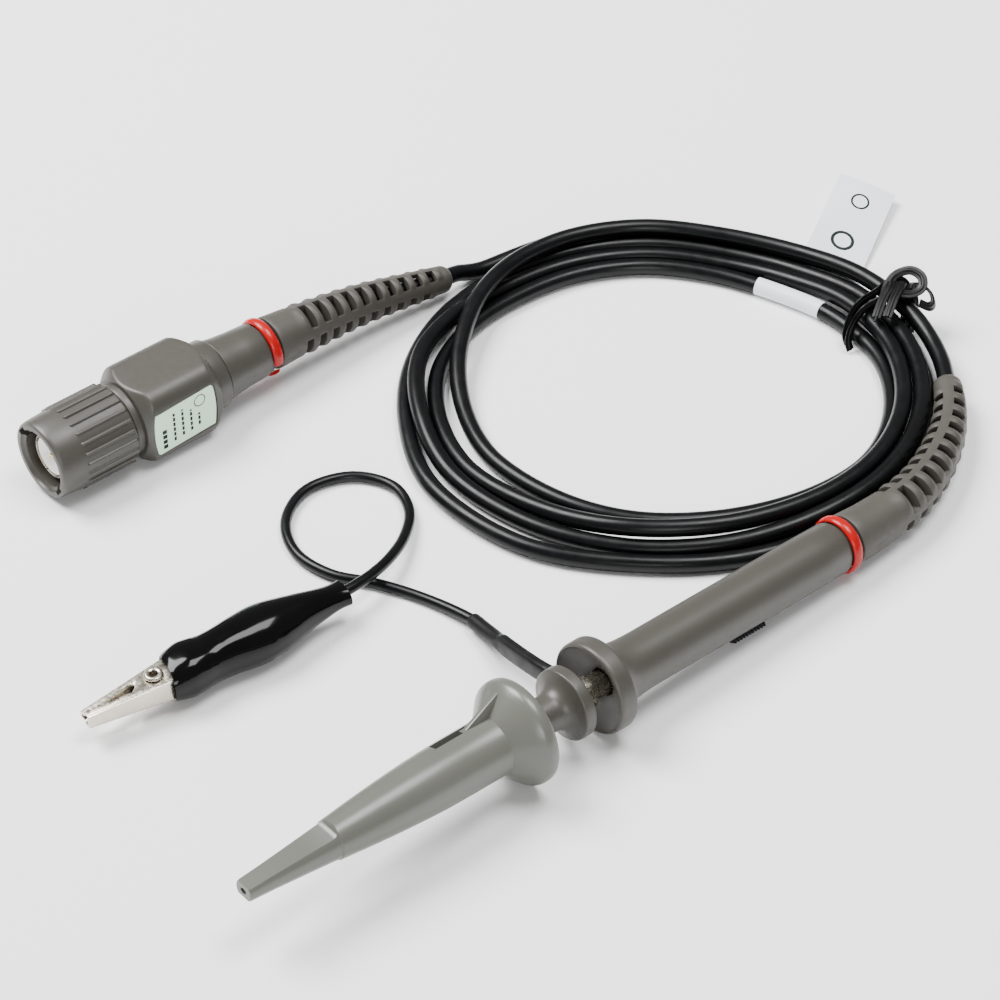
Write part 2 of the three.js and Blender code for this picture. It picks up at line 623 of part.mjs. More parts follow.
function fixedJaw() {
  const cheek = [
    [-12, -1.25], [2, -2.8], [4, -2.8], [4, -0.6], [2, 1.3], [-1.4, 1.5], [-3.2, 0.5],
    ...toothedEdge(-4, -11.6, 5, -0.35, 0.35), [-12, -0.35],
  ];
  const web = [[-12, -1.25], [2, -2.8], [4, -2.8], [4, -2.4], [2, -2.4], [-12, -0.85]];
  const { base, extras } = channel(cheek, web, EAR_OUTER);
  const tail = prismZ([[3.6, -2.8], [12, -2.9], [24, -1.4], [24, -1], [12, -2.5], [3.6, -2.4]], -1.4, 1.4);
  const crimp = sleeve(24, 30, 1.55, 1.2, 14);
  const bridge = block(23.4, 24.4, -1.5, 0, -0.8, 0.8);
  const pinHole = new THREE.CylinderGeometry(0.95, 0.95, 8, 16).rotateX(90 * DEG);
  const taperTop = block(-30, 0, -9, 9, 0, 4).rotateY(-3.4 * DEG).translate(0, 0, EAR_OUTER);
  const taperBottom = toGeometry(toSolid(taperTop).rotate([180, 0, 0]));
  return combine(base, { add: [...extras, tail, crimp, bridge], cut: [pinHole, taperTop, taperBottom] });
}

function movingJaw() {
  const half = EAR_OUTER - SHEET - GAP;
  const cheek = [
    [-12, 1.25], [-12, 0.25], ...toothedEdge(-11.4, -4, 5, 0.25, -0.25), [-2.6, -0.9], [1, -1.2],
    [2.4, 0.4], [4, 3.2],
  ];
  const web = [[-12, 1.25], [-12, 0.85], [4, 2.8], [4, 3.2]];
  const { base, extras } = channel(cheek, web, half);
  const tail = prismZ([[3.6, 3.15], [3.6, 2.75], [12, 3.6], [14, 3.7], [14, 4.1], [12, 4]], -half, half);
  const pinHole = new THREE.CylinderGeometry(0.95, 0.95, 8, 16).rotateX(90 * DEG);
  const taperTop = block(-30, 0, -9, 9, 0, 4).rotateY(-3.4 * DEG).translate(0, 0, half);
  const taperBottom = toGeometry(toSolid(taperTop).rotate([180, 0, 0]));
  return combine(base, { add: [...extras, tail], cut: [pinHole, taperTop, taperBottom] });
}

// Hollow rivet with rolled rims above and below the cheeks.
function rivet() {
  const rim = EAR_OUTER + GAP;
  return lathe([
    [-rim - 0.25, 0.45], [-rim - 0.25, 0.9], [-rim - 0.1, 1.1], [-rim, 1.1], [-rim, 0.65],
    [rim, 0.65], [rim, 1.1], [rim + 0.1, 1.1], [rim + 0.25, 0.9], [rim + 0.25, 0.45],
  ], 14).rotateY(-90 * DEG);
}

// Torsion spring round the rivet: two turns, a long leg on the fixed jaw's tail and a short one
// inside the other jaw.
function clipSpring() {
  const points = [[7.6, -1.7, -0.45], [4.4, -1.6, -0.44]];
  const perTurn = 10;
  const turns = 1.9;
  for (let i = 0; i <= turns * perTurn; i += 1) {
    const angle = (-70 - (360 * i) / perTurn) * DEG;
    points.push([1.25 * Math.cos(angle), 1.25 * Math.sin(angle), -0.42 + (0.84 * i) / (turns * perTurn)]);
  }
  points.push([2.4, 0.95, 0.42]);
  return tube(curveThrough(points), 0.15, 5, 40);
}

function clipBoot() {
  const outer = [
    [1.6, 4.2, 3.1], [2.6, 4.4, 3.3], [6, 4.7, 3.6], [9, 4.9, 3.8], [13, 5, 4.1], [18, 5.6, 4.35],
    [21, 5.5, 4.3], [26, 3.9, 3.7], [30, 2.9, 2.7], [34, 2.5, 2.2],
  ];
  const wall = 0.6;
  const innerSections = outer.map(([x, y, z]) => [x, y - wall, z - wall]);
  innerSections[0][0] -= 1;
  innerSections[innerSections.length - 1][0] += 1;
  return combine(loft(outer, 20, 0.7), { cut: [loft(innerSections, 20, 0.7)] });
}

clip.add(
  named('clip_fixed_jaw', fixedJaw(), paint.nickel),
  named('clip_moving_jaw', movingJaw(), paint.nickel),
  named('clip_rivet', rivet(), paint.steel),
  named('clip_spring', clipSpring(), paint.steel),
  named('clip_boot', clipBoot(), paint.vinyl),
);

// ---------------------------------------------------------------- origin
// Origin: middle of the probe head's own bottom face, cable, plug and ground lead left out.
probe.updateMatrixWorld(true);
const headBox = new THREE.Box3().setFromObject(head, true);
const part = new THREE.Group();
probe.position.set(
  -(headBox.min.x + headBox.max.x) / 2, -(headBox.min.y + headBox.max.y) / 2, -headBox.min.z);
part.add(probe);

export default part;
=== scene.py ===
"""Blender scene of the oscilloscope probe: pieces, materials, cords, light and camera.

Lengths are in millimetres while a piece is made and in metres once it is in the scene.
"""
import json
from math import asin, atan2, copysign, cos, hypot, pi, radians, sin, sqrt

import bmesh
import bpy
from mathutils import Matrix, Vector


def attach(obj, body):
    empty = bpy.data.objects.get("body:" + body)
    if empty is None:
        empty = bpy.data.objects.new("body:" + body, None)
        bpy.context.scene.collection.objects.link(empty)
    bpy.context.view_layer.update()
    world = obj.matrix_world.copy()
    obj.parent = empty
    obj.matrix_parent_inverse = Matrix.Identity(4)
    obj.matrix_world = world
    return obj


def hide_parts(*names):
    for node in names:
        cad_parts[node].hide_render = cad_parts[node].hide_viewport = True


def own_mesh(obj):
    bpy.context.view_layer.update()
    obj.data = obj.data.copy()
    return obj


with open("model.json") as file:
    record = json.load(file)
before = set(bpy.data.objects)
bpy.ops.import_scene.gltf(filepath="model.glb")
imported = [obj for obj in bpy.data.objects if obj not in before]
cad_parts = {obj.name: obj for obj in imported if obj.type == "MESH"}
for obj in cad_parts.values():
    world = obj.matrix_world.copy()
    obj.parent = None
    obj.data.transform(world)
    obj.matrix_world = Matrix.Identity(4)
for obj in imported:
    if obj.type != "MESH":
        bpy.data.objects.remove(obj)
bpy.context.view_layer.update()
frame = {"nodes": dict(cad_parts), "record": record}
NODES = frame["nodes"]

# ------ shared dimensions (mm)
# The row frame's origin is below the middle of the probe head; the design frame's is below its collar.
ORIGIN = Vector((-9.56, 0.0, 0.0258))
COLLAR_R = 8.45
MARKER_X = 67.7
TAIL_DROP = 3.5
HEAD_DIP = atan2(TAIL_DROP, MARKER_X)
HEAD_Z = COLLAR_R * cos(HEAD_DIP)
BNC = Vector((-16.4, 97.3, 7.3))
CLIP = Vector((-31.5, 46.2, 4.4))
COIL = Vector((76.5, 50.0, 0.0))
COAX_R = 1.5
LEAD_R = 0.9
MM = 0.001
MICRON = 0.000001


def shift(x, y, z):
    return Matrix.Translation((x, y, z))


def turn(degrees, axis):
    return Matrix.Rotation(radians(degrees), 4, axis)


# Frames of the parts: the head dips towards the floor at its tail, the clip lies a little askew.
DESIGN = Matrix.Translation(ORIGIN)
HEAD_IN_DESIGN = shift(0, 0, HEAD_Z) @ Matrix.Rotation(HEAD_DIP, 4, "Y")
CLIP_IN_DESIGN = Matrix.Translation(CLIP) @ turn(-5, "Z")
HEAD = DESIGN @ HEAD_IN_DESIGN
PLUG = DESIGN @ Matrix.Translation(BNC)
CLIP_M = DESIGN @ CLIP_IN_DESIGN
SWITCH_ANGLE = 150
SWITCH_M = HEAD @ turn(SWITCH_ANGLE, "X")
TO_METRES = Matrix.Diagonal((MM, MM, MM, 1))


def on_head(x, y=0.0, z=0.0):
    """Design-frame point of a place on the probe head."""
    return HEAD_IN_DESIGN @ Vector((x, y, z))


def on_clip(x, y=0.0, z=0.0):
    """Design-frame point of a place on the clip."""
    return CLIP_IN_DESIGN @ Vector((x, y, z))


def to_row(point):
    """Design frame in mm to the row frame in metres."""
    return (Vector(point) + ORIGIN) * MM


def linked(name, data):
    """New object with this data, in the scene."""
    obj = bpy.data.objects.new(name, data)
    bpy.context.scene.collection.objects.link(obj)
    return obj


def aimed(direction):
    """Rotation of a camera or lamp that looks this way."""
    return direction.to_track_quat("-Z", "Y").to_euler()


# ------ camera, light, floor
def add_camera():
    data = bpy.data.cameras.new("camera")
    data.sensor_width = 36
    data.lens = 108
    data.clip_start = 0.01
    data.clip_end = 10
    camera = linked("camera", data)
    camera.location = to_row((-204.7, -228.9, 320.0))
    pitch = radians(41)
    look = Vector((0.6607 * cos(pitch), 0.7507 * cos(pitch), -sin(pitch)))
    camera.rotation_euler = aimed(look)
    bpy.context.scene.camera = camera


def add_area(name, place, target, size, power):
    data = bpy.data.lights.new(name, "AREA")
    data.shape = "SQUARE"
    data.size = size
    data.energy = power
    lamp = linked(name, data)
    lamp.location = place
    lamp.rotation_euler = aimed(Vector(target) - Vector(place))


def add_studio():
    world = bpy.data.worlds.new("studio")
    world.use_nodes = True
    background = world.node_tree.nodes["Background"]
    background.inputs["Color"].default_value = (1, 1, 1, 1)
    background.inputs["Strength"].default_value = 0.32
    bpy.context.scene.world = world
    middle = (0.04, 0.05, 0)
    add_area("key", (-0.2, 0.6, 0.85), middle, 0.55, 26)
    add_area("top", (0.3, -0.1, 1.1), middle, 0.5, 14)
    add_area("front", (-0.55, -0.75, 0.4), middle, 0.35, 4)


def add_floor(material):
    mesh = bpy.data.meshes.new("floor")
    half = 3.0
    corners = [(-half, -half, 0), (half, -half, 0), (half, half, 0), (-half, half, 0)]
    mesh.from_pydata(corners, [], [(0, 1, 2, 3)])
    mesh.materials.append(material)
    linked("floor", mesh)


# ------ materials
def new_material(name):
    material = bpy.data.materials.new(name)
    material.use_nodes = True
    tree = material.node_tree
    return material, tree, tree.nodes["Principled BSDF"]


def add_noise(tree, scale, detail):
    """Noise on the object's own coordinates (metres), so it stays on the piece."""
    place = tree.nodes.new("ShaderNodeTexCoord")
    noise = tree.nodes.new("ShaderNodeTexNoise")
    noise.inputs["Scale"].default_value = scale
    noise.inputs["Detail"].default_value = detail
    tree.links.new(place.outputs["Object"], noise.inputs["Vector"])
    return noise.outputs["Fac"]


def add_range(tree, source, low, high):
    """Noise's usual middle range spread from low to high."""
    spread = tree.nodes.new("ShaderNodeMapRange")
    spread.inputs["From Min"].default_value = 0.3
    spread.inputs["From Max"].default_value = 0.7
    spread.inputs["To Min"].default_value = low
    spread.inputs["To Max"].default_value = high
    tree.links.new(source, spread.inputs["Value"])
    return spread.outputs["Result"]


def add_tint(tree, source, dark, light):
    mix = tree.nodes.new("ShaderNodeMix")
    mix.data_type = "RGBA"
    mix.inputs["A"].default_value = (*dark, 1)
    mix.inputs["B"].default_value = (*light, 1)
    tree.links.new(source, mix.inputs["Factor"])
    return mix.outputs["Result"]


def add_bump(tree, shader, source, strength, depth):
    bump = tree.nodes.new("ShaderNodeBump")
    bump.inputs["Strength"].default_value = strength
    bump.inputs["Distance"].default_value = depth
    tree.links.new(source, bump.inputs["Height"])
    tree.links.new(bump.outputs["Normal"], shader.inputs["Normal"])


def scaled(color, factor):
    return tuple(min(1.0, c * factor) for c in color)


def moulded(name, color, roughness, grain, depth, variation=0.06, spread=0.08, specular=0.5):
    """Moulded plastic: fine grain, depth micrometres deep, faint colour drift, uneven sheen."""
    material, tree, shader = new_material(name)
    drift = add_range(tree, add_noise(tree, 90, 4), 0, 1)
    tint = add_tint(tree, drift, scaled(color, 1 - variation), scaled(color, 1 + variation))
    tree.links.new(tint, shader.inputs["Base Color"])
    shader.inputs["Roughness"].default_value = roughness
    if spread:
        sheen = add_range(tree, add_noise(tree, grain * 0.2, 3), roughness - spread, roughness + spread)
        tree.links.new(sheen, shader.inputs["Roughness"])
    add_bump(tree, shader, add_noise(tree, grain, 2), 0.35, depth * MICRON)
    shader.inputs["Specular IOR Level"].default_value = specular
    return material


def metal(name, color, roughness, grain, depth, tarnish_and_shade=0.12):
    """Plated or drawn metal: fine marks, depth micrometres deep, and lightly tarnished darker patches; on
    brass the patches are deep, partly tarnished and partly painted shade.
    """
    material, tree, shader = new_material(name)
    marks = add_noise(tree, grain, 4)
    patches = add_range(tree, add_noise(tree, 260, 3), 0, 1)
    # darker patches: tarnished metal, and on brass also painted shade
    tint = add_tint(tree, patches, scaled(color, 1 - tarnish_and_shade), color)
    tree.links.new(tint, shader.inputs["Base Color"])
    tree.links.new(add_range(tree, marks, roughness * 0.75, roughness * 1.3), shader.inputs["Roughness"])
    add_bump(tree, shader, marks, 0.2, depth * MICRON)
    shader.inputs["Metallic"].default_value = 1.0
    return material


def floor_material():
    material, tree, shader = new_material("floor_white")
    drift = add_range(tree, add_noise(tree, 6, 2), 0, 1)
    tint = add_tint(tree, drift, (0.90, 0.90, 0.90), (0.92, 0.92, 0.92))
    tree.links.new(tint, shader.inputs["Base Color"])
    shader.inputs["Roughness"].default_value = 0.9
    shader.inputs["Specular IOR Level"].default_value = 0.1
    return material


# name: (colour, roughness, grain, depth[, colour drift, unevenness of sheen, specular level])
PLASTICS = {
    "sleeve_plastic": ((0.096, 0.097, 0.084), 0.3, 2600, 5, 0.04, 0),
    "grey_plastic": ((0.044, 0.041, 0.034), 0.42, 5200, 20, 0.05, 0.03),
    "soft_grey": ((0.050, 0.046, 0.039), 0.55, 4200, 20, 0.06, 0.08, 0.4),
    "red_plastic": ((0.36, 0.0012, 0.002), 0.25, 1500, 3, 0.06, 0.03, 0.3),
    "coax_jacket": ((0.0016, 0.0018, 0.0022), 0.33, 2400, 6, 0.3, 0.05, 0.22),
    "black_vinyl": ((0.0012, 0.0012, 0.0014), 0.11, 300, 30, 0.3, 0.03, 0.2),
    "black_plastic": ((0.0025, 0.0025, 0.0028), 0.36, 3000, 10, 0.2, 0.08, 0.2),
    "shrink_tube": ((0.004, 0.004, 0.0044), 0.45, 1800, 20, 0.2, 0.08, 0.18),
    "white_plastic": ((0.92, 0.92, 0.91), 0.35, 2500, 6, 0.02),
    "white_vinyl": ((0.74, 0.76, 0.80), 0.42, 900, 10, 0.03),
    "mint_label": ((0.64, 0.88, 0.66), 0.5, 5000, 3, 0.03, 0.08, 0.3),
    "label_ink": ((0.01, 0.016, 0.013), 0.6, 5000, 2, 0.2, 0.08, 0.2),
    "circuit_board": ((0.02, 0.13, 0.05), 0.3, 2500, 10, 0.15),
    "ceramic": ((0.52, 0.27, 0.08), 0.4, 1800, 20, 0.1),
    "resistor_lacquer": ((0.05, 0.17, 0.40), 0.25, 1500, 10, 0.1),
    "silicone": ((0.42, 0.03, 0.02), 0.5, 2500, 10, 0.1),
}
METALS = {
    "nickel": ((0.60, 0.555, 0.47), 0.27, 2200, 1),
    "steel": ((0.56, 0.57, 0.58), 0.28, 1800, 4),
    "gold": ((0.95, 0.62, 0.20), 0.2, 1500, 2),
    # brass: dark colour with deep patches, partly tarnished and partly painted shade where the ground barrel
    # sits between the dish and the guard
    "brass": ((0.42, 0.33, 0.19), 0.35, 1500, 20, 0.6),
}
LOOK = {name: moulded(name, *values) for name, values in PLASTICS.items()}
LOOK.update({name: metal(name, *values) for name, values in METALS.items()})


# ------ mesh helpers (all in mm)
def mesh_from(points, faces):
    mesh = bpy.data.meshes.new("work")
    mesh.from_pydata([tuple(p) for p in points], [], faces)
    mesh.validate()
    return mesh


def ring_faces(count, a, b):
    """Quads between two rings of vertices that start at a and b."""
    return [(a + i, a + (i + 1) % count, b + (i + 1) % count, b + i) for i in range(count)]


def rings_mesh(rings, loop=False):
    """Skin over rings of points. An end ring of one point closes to it; loop joins last to first."""
    points, faces, starts = [], [], []
    for ring in rings:
        starts.append(len(points))
        points.extend(ring)
    pairs = list(zip(range(len(rings) - 1), range(1, len(rings))))
    if loop:
        pairs.append((len(rings) - 1, 0))
    for i, k in pairs:
        a, b = starts[i], starts[k]
        if len(rings[i]) == 1:
            count = len(rings[k])
            faces.extend((a, b + (j + 1) % count, b + j) for j in range(count))
        elif len(rings[k]) == 1:
            count = len(rings[i])
            faces.extend((a + j, a + (j + 1) % count, b) for j in range(count))
        else:
            faces.extend(ring_faces(len(rings[i]), a, b))
    if not loop:
        if len(rings[0]) > 1:
            faces.append(tuple(reversed(range(len(rings[0])))))
        if len(rings[-1]) > 1:
            faces.append(tuple(range(starts[-1], len(points))))
    return mesh_from(points, faces)


def rounded_outline(outline, steps=4):
    """Outline of (x, r) or (x, r, fillet) corners with the filleted corners rounded."""
    result = []
    last = len(outline) - 1
    for i, corner in enumerate(outline):
        here = Vector(corner[:2])
        fillet = corner[2] if len(corner) > 2 else 0
        if not fillet or i in (0, last):
            result.append(here)
            continue
        before = Vector(outline[i - 1][:2]) - here
        after = Vector(outline[i + 1][:2]) - here
        reach = min(fillet, before.length * 0.49, after.length * 0.49)
        start = here + before.normalized() * reach
        end = here + after.normalized() * reach
        for k in range(steps + 1):
            t = k / steps
            result.append(start * (1 - t) ** 2 + here * 2 * t * (1 - t) + end * t ** 2)
    return result


def ring_at(x, radius, angles):
    """Ring of points about X, of one radius or of a list with one for each angle."""
    radii = radius if isinstance(radius, list) else [radius] * len(angles)
    return [(x, r * cos(a), r * sin(a)) for r, a in zip(radii, angles)]


def even_angles(count):
    return [2 * pi * i / count for i in range(count)]


def turned(outline, segments=96, loop=False):
    """Body of revolution about X. Outer points run towards +x, inner ones back."""
    angles = even_angles(segments)
    rings = [ring_at(x, r, angles) if r > 1e-6 else [(x, 0, 0)] for x, r in rounded_outline(outline)]
    return rings_mesh(rings, loop)


def smooth_outline(corners, step):
    """Corner points joined by a smooth curve, with a point about every step."""
    return [tuple(p[:2]) for p in Route([(x, r, 0) for x, r in corners]).even(step)]


def boxed(x0, x1, y0, y1, z0, z1):
    """Box between two corners."""
    points = [(x, y, z) for x in (x0, x1) for y in (y0, y1) for z in (z0, z1)]
    faces = [(0, 1, 3, 2), (4, 6, 7, 5), (0, 4, 5, 1), (2, 3, 7, 6), (0, 2, 6, 4), (1, 5, 7, 3)]
    return mesh_from(points, faces)


def extruded(outline, low, high):
    """Prism along Z from an outline of (x, y) points."""
    count = len(outline)
    area = sum(a[0] * b[1] - b[0] * a[1] for a, b in zip(outline, outline[1:] + outline[:1]))
    if area < 0:
        outline = outline[::-1]
    points = [(x, y, low) for x, y in outline] + [(x, y, high) for x, y in outline]
    faces = [tuple(reversed(range(count))), tuple(range(count, 2 * count))]
    return mesh_from(points, faces + ring_faces(count, 0, count))


def between(a, b, t0, t1, t):
    """Value at t on the line from a at t0 to b at t1."""
    return a * ((t1 - t) / (t1 - t0)) + b * ((t - t0) / (t1 - t0))


class Route:
    """Smooth curve through points, measured by length."""

    def __init__(self, points, fine=14):
        pts = [Vector(p) for p in points]
        ends = [pts[0] * 2 - pts[1]] + pts + [pts[-1] * 2 - pts[-2]]
        dense = []
        for i in range(1, len(ends) - 2):
            p0, p1, p2, p3 = ends[i - 1:i + 3]
            t0 = 0.0
            t1 = t0 + max((p1 - p0).length, 1e-6) ** 0.5
            t2 = t1 + max((p2 - p1).length, 1e-6) ** 0.5
            t3 = t2 + max((p3 - p2).length, 1e-6) ** 0.5
            for k in range(fine):
                t = t1 + (t2 - t1) * k / fine
                middle = between(p1, p2, t1, t2, t)
                before = between(between(p0, p1, t0, t1, t), middle, t0, t2, t)
                after = between(middle, between(p2, p3, t2, t3, t), t1, t3, t)
                dense.append(between(before, after, t1, t2, t))
        dense.append(pts[-1])
        self.points = dense
        self.run = [0.0]
        for a, b in zip(dense, dense[1:]):
            self.run.append(self.run[-1] + (b - a).length)
        self.length = self.run[-1]

    def at(self, s):
        """(point, direction) at length s from the start; straight on past the ends."""
        clamped = min(max(s, 0.0), self.length)
        low, high = 0, len(self.run) - 1
        while high - low > 1:
            middle = (low + high) // 2
            if self.run[middle] <= clamped:
                low = middle
            else:
                high = middle
        a, b = self.points[low], self.points[high]
        span = max(self.run[high] - self.run[low], 1e-9)
        # direction from a little before to a little after, so that it turns smoothly
        reach = max(1, min(3, low, len(self.points) - 1 - high))
        back = self.points[max(0, low - reach)]
        ahead = self.points[min(len(self.points) - 1, high + reach)]
        direction = (ahead - back).normalized()
        return a.lerp(b, (clamped - self.run[low]) / span) + direction * (s - clamped), direction

    def even(self, step):
        """Points about a step apart, from the start to the end."""
        count = max(2, round(self.length / step))
        return [self.at(self.length * i / count)[0] for i in range(count + 1)]


def bend(mesh, route):
    """Bend a mesh made along X so that it follows a nearly level route."""
    up = Vector((0, 0, 1))
    for vertex in mesh.vertices:
        point, direction = route.at(vertex.co.x)
        side = up.cross(direction).normalized()
        rise = direction.cross(side)
        vertex.co = point + side * vertex.co.y + rise * vertex.co.z
    return mesh


def swept(points, section):
    """Bar of a section of (u, v) points carried along points with a steady twist-free frame."""
    pts = [Vector(p) for p in points]
    last = len(pts) - 1
    rings = []
    tangent = (pts[1] - pts[0]).normalized()
    reference = Vector((0, 0, 1)) if abs(tangent.z) < 0.9 else Vector((1, 0, 0))
    normal = (reference - tangent * reference.dot(tangent)).normalized()
    for i, p in enumerate(pts):
        tangent = (pts[min(last, i + 1)] - pts[max(0, i - 1)]).normalized()
        normal = (normal - tangent * normal.dot(tangent)).normalized()
        side = tangent.cross(normal)
        rings.append([p + side * u + normal * v for u, v in section])
    return rings_mesh(rings)


def circle(radius, sides):
    return [(radius * cos(a), radius * sin(a)) for a in even_angles(sides)]


def joined(*meshes):
    """One mesh that holds all of these."""
    work = bmesh.new()
    for mesh in meshes:
        work.from_mesh(mesh)
    result = bpy.data.meshes.new("work")
    work.to_mesh(result)
    work.free()
    return result


def moved(mesh, matrix):
    mesh.transform(matrix)
    return mesh


def spun(mesh, degrees):
    """Turned about X."""
    return moved(mesh, turn(degrees, "X"))


def shaped(mesh, changes):
    """Apply modifiers to a bare mesh. changes is a list of (type, settings)."""
    work = linked("work", mesh)
    for kind, settings in changes:
        modifier = work.modifiers.new(kind, kind)
        for key, value in settings.items():
            setattr(modifier, key, value)
    done = bpy.data.meshes.new_from_object(work.evaluated_get(bpy.context.evaluated_depsgraph_get()))
    bpy.data.objects.remove(work)
    return done


def carved(mesh, *cutters, operation="DIFFERENCE"):
    """Boolean with each of the cutters."""
    helpers, changes = [], []
    for cutter in cutters:
        helper = linked("cutter", cutter)
        helpers.append(helper)
        changes.append(("BOOLEAN", {"object": helper, "operation": operation, "solver": "EXACT"}))
    bpy.context.view_layer.update()
    done = shaped(mesh, changes)
    for helper in helpers:
        bpy.data.objects.remove(helper)
    return done


def eased(mesh, width, segments=2, angle=35):
    """Small rounding on every sharp edge."""
    return shaped(mesh, [("BEVEL", {
        "width": width, "segments": segments, "limit_method": "ANGLE", "angle_limit": radians(angle),
        "use_clamp_overlap": True, "miter_outer": "MITER_ARC"})])


def declared(name, data, body, replaces):
    """Put a mesh or a curve in the scene as a piece of the object."""
    obj = linked(name, data)
    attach(obj, body)
    if replaces:
        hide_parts(*replaces)
    return obj


def piece(name, mesh, matrix, look, replaces=(), sharp=38, body="probe"):
    """Declare a finished mesh, made in millimetres in the frame of matrix."""
    mesh.transform(TO_METRES @ matrix)
    mesh.name = name
    fix = bmesh.new()
    fix.from_mesh(mesh)
    bmesh.ops.recalc_face_normals(fix, faces=fix.faces)
    fix.to_mesh(mesh)
    fix.free()
    mesh.materials.clear()
    mesh.materials.append(LOOK[look])
    mesh.polygons.foreach_set("material_index", [0] * len(mesh.polygons))
    mesh.polygons.foreach_set("use_smooth", [True] * len(mesh.polygons))
    mesh.set_sharp_from_angle(angle=radians(sharp))
    return declared(name, mesh, body, replaces)


# ------ camera and cords first
add_camera()
add_studio()
add_floor(floor_material())

PROBE_BOOT_ROUTE = Route([
    on_head(69.3), on_head(75), (82.7, 0.4, 4.45), (87.6, 1.4, 4.3), (92.6, 3.1, 4.15), (98.3, 5.8, 4),
    (103.2, 8.8, 3.9), (108.2, 13, 3.8), (112.2, 17.4, 3.7)])
BNC_BOOT_ROUTE = Route([
    (BNC.x + 46.5, BNC.y, BNC.z), (BNC.x + 54, BNC.y, BNC.z - 0.4), (BNC.x + 66, BNC.y - 0.2, 5.8),
    (BNC.x + 76, BNC.y - 1, 4.5), (68.2, 95.3, 3.5)])
BOOT_LENGTH_PROBE = 48
BOOT_LENGTH_BNC = 38.5


def on_coil(degrees, radius, z=COAX_R):
    """Place above the floor by its angle and distance from the coil's middle."""
    return COIL + turn(degrees, "Z") @ Vector((radius, 0, z))


# The cable's four turns, clockwise from above: its centre's distance from the middle and its height,
# at these angles. At the tie the turns are gathered in two layers, and they spread out across from it.
TURN_ANGLES = (90, 70, 50, 30, 10, -10, -30, -50, -70, -90, -115, -140, -162, -188, -210, -230, -250)
ON_FLOOR = (COAX_R,) * len(TURN_ANGLES)
# one pair for each turn: the distances and the heights
TURNS = (
    ((45.0, 44.9, 44.4, 43.7, 44.3, 44.9, 45.3, 45.6, 45.2, 44.8, 44.4, 44.4, 46.0, 45.6, 43.3, 42.3, 41.7),
     ON_FLOOR),
    ((41.3, 41.2, 41.1, 40.6, 41.2, 42.7, 43.8, 44.1, 43.7, 42.8, 41.3, 40.7, 41.0, 41.6, 41.1, 40.7, 39.0),
     (1.5, 1.5, 1.5, 1.5, 2.3, 3.9, 4.15, 4.15, 4.15, 3.9, 2.4, 1.5, 1.5, 2.0, 3.75, 4.2, 3.2)),
    ((38.1, 38.0, 37.9, 37.4, 38.0, 39.5, 40.65, 40.95, 40.55, 39.6, 38.9, 38.9, 38.0, 38.3, 37.9, 37.4,
      36.0),
     (1.5, 1.5, 1.5, 1.5, 2.4, 4.0, 4.15, 4.15, 4.15, 4.2, 4.4, 4.2, 2.6, 1.5, 1.5, 1.5, 1.5)),
    ((34.8, 34.7, 34.5, 34.0, 34.5, 37.0, 39.0, 39.3, 38.8, 36.6, 34.5, 34.0, 33.5, 33.5, 33.4, 34.3, 36.2),
     ON_FLOOR[:14] + (2.0, 3.6, 4.8)),
)
# the run over the other turns, from the back of the coil to the probe's boot: (angle, radius, height)
LAST_RUN = (
    (98, 37.9, 5.2), (84, 40.0, 4.9), (68, 41.8, 4.6), (50, 42.6, 4.3), (30, 42.1, 4.3), (10, 43.1, 4.9),
    (-4, 44.3, 6.0), (-14, 45.7, 5.8), (-22, 47.1, 5.0))

coax_route = Route(
    [BNC_BOOT_ROUTE.at(s)[0] for s in (0, 8, 16, 24, 32, 37)]
    + [on_coil(97, 46.1, 2.9), on_coil(94, 45.6, 2.1)]
    + [on_coil(*place) for radii, heights in TURNS for place in zip(TURN_ANGLES, radii, heights)]
    + [on_coil(*place) for place in LAST_RUN]
    + [Vector((118.4, 26.8, 4.2)), Vector((115.4, 21.4, 3.9))]
    + [PROBE_BOOT_ROUTE.at(s)[0] for s in (47, 42, 34, 26, 18, 9, 0)])


def cord_curve(name, route, radius, step, look, replaces):
    """Round cord as one open spline."""
    data = bpy.data.curves.new(name, "CURVE")
    data.dimensions = "3D"
    data.bevel_depth = radius * MM
    data.bevel_resolution = 7
    data.use_fill_caps = True
    points = route.even(step)
    spline = data.splines.new("POLY")
    spline.points.add(len(points) - 1)
    for slot, p in zip(spline.points, points):
        slot.co = (*to_row((p[0], p[1], max(p[2], radius + 0.01))), 1)
    spline.use_smooth = True
    data.materials.append(LOOK[look])
    return declared(name, data, "probe", replaces)


coax = cord_curve("coax_cable", coax_route, COAX_R, 1.6, "coax_jacket", ["coax_coil", "coax_last_turn"])

# the lead's last stretch, inside the heat-shrink tube
SHRINK_START = [(15.4, 27.5, 1.65), (14.7, 22.7, 2.6), (13.8, 18.2, 3.9), (12.9, 13.2, 5.4)]
LEAD_EXIT = (12.5, 10.9, 6.2)
lead_route = Route([
    on_clip(25.2), on_clip(30.4), on_clip(34, 0.1), (4.4, 43.4, 4.3), (8.6, 44, 3.9), (13.5, 45.6, 3.2),
    (19.3, 48.8, 2.2), (25, 54.3, 1.2), (27, 60.8, 0.95), (23.6, 67, 0.95), (16, 69.4, 0.95),
    (8.6, 65.6, 0.95), (5, 58.4, 0.95), (6, 50.8, 0.95), (10, 44.4, 0.95), (13.6, 36.4, 0.95),
    *SHRINK_START, LEAD_EXIT])
lead = cord_curve("ground_wire", lead_route, LEAD_R, 1.2, "coax_jacket", ["ground_lead"])


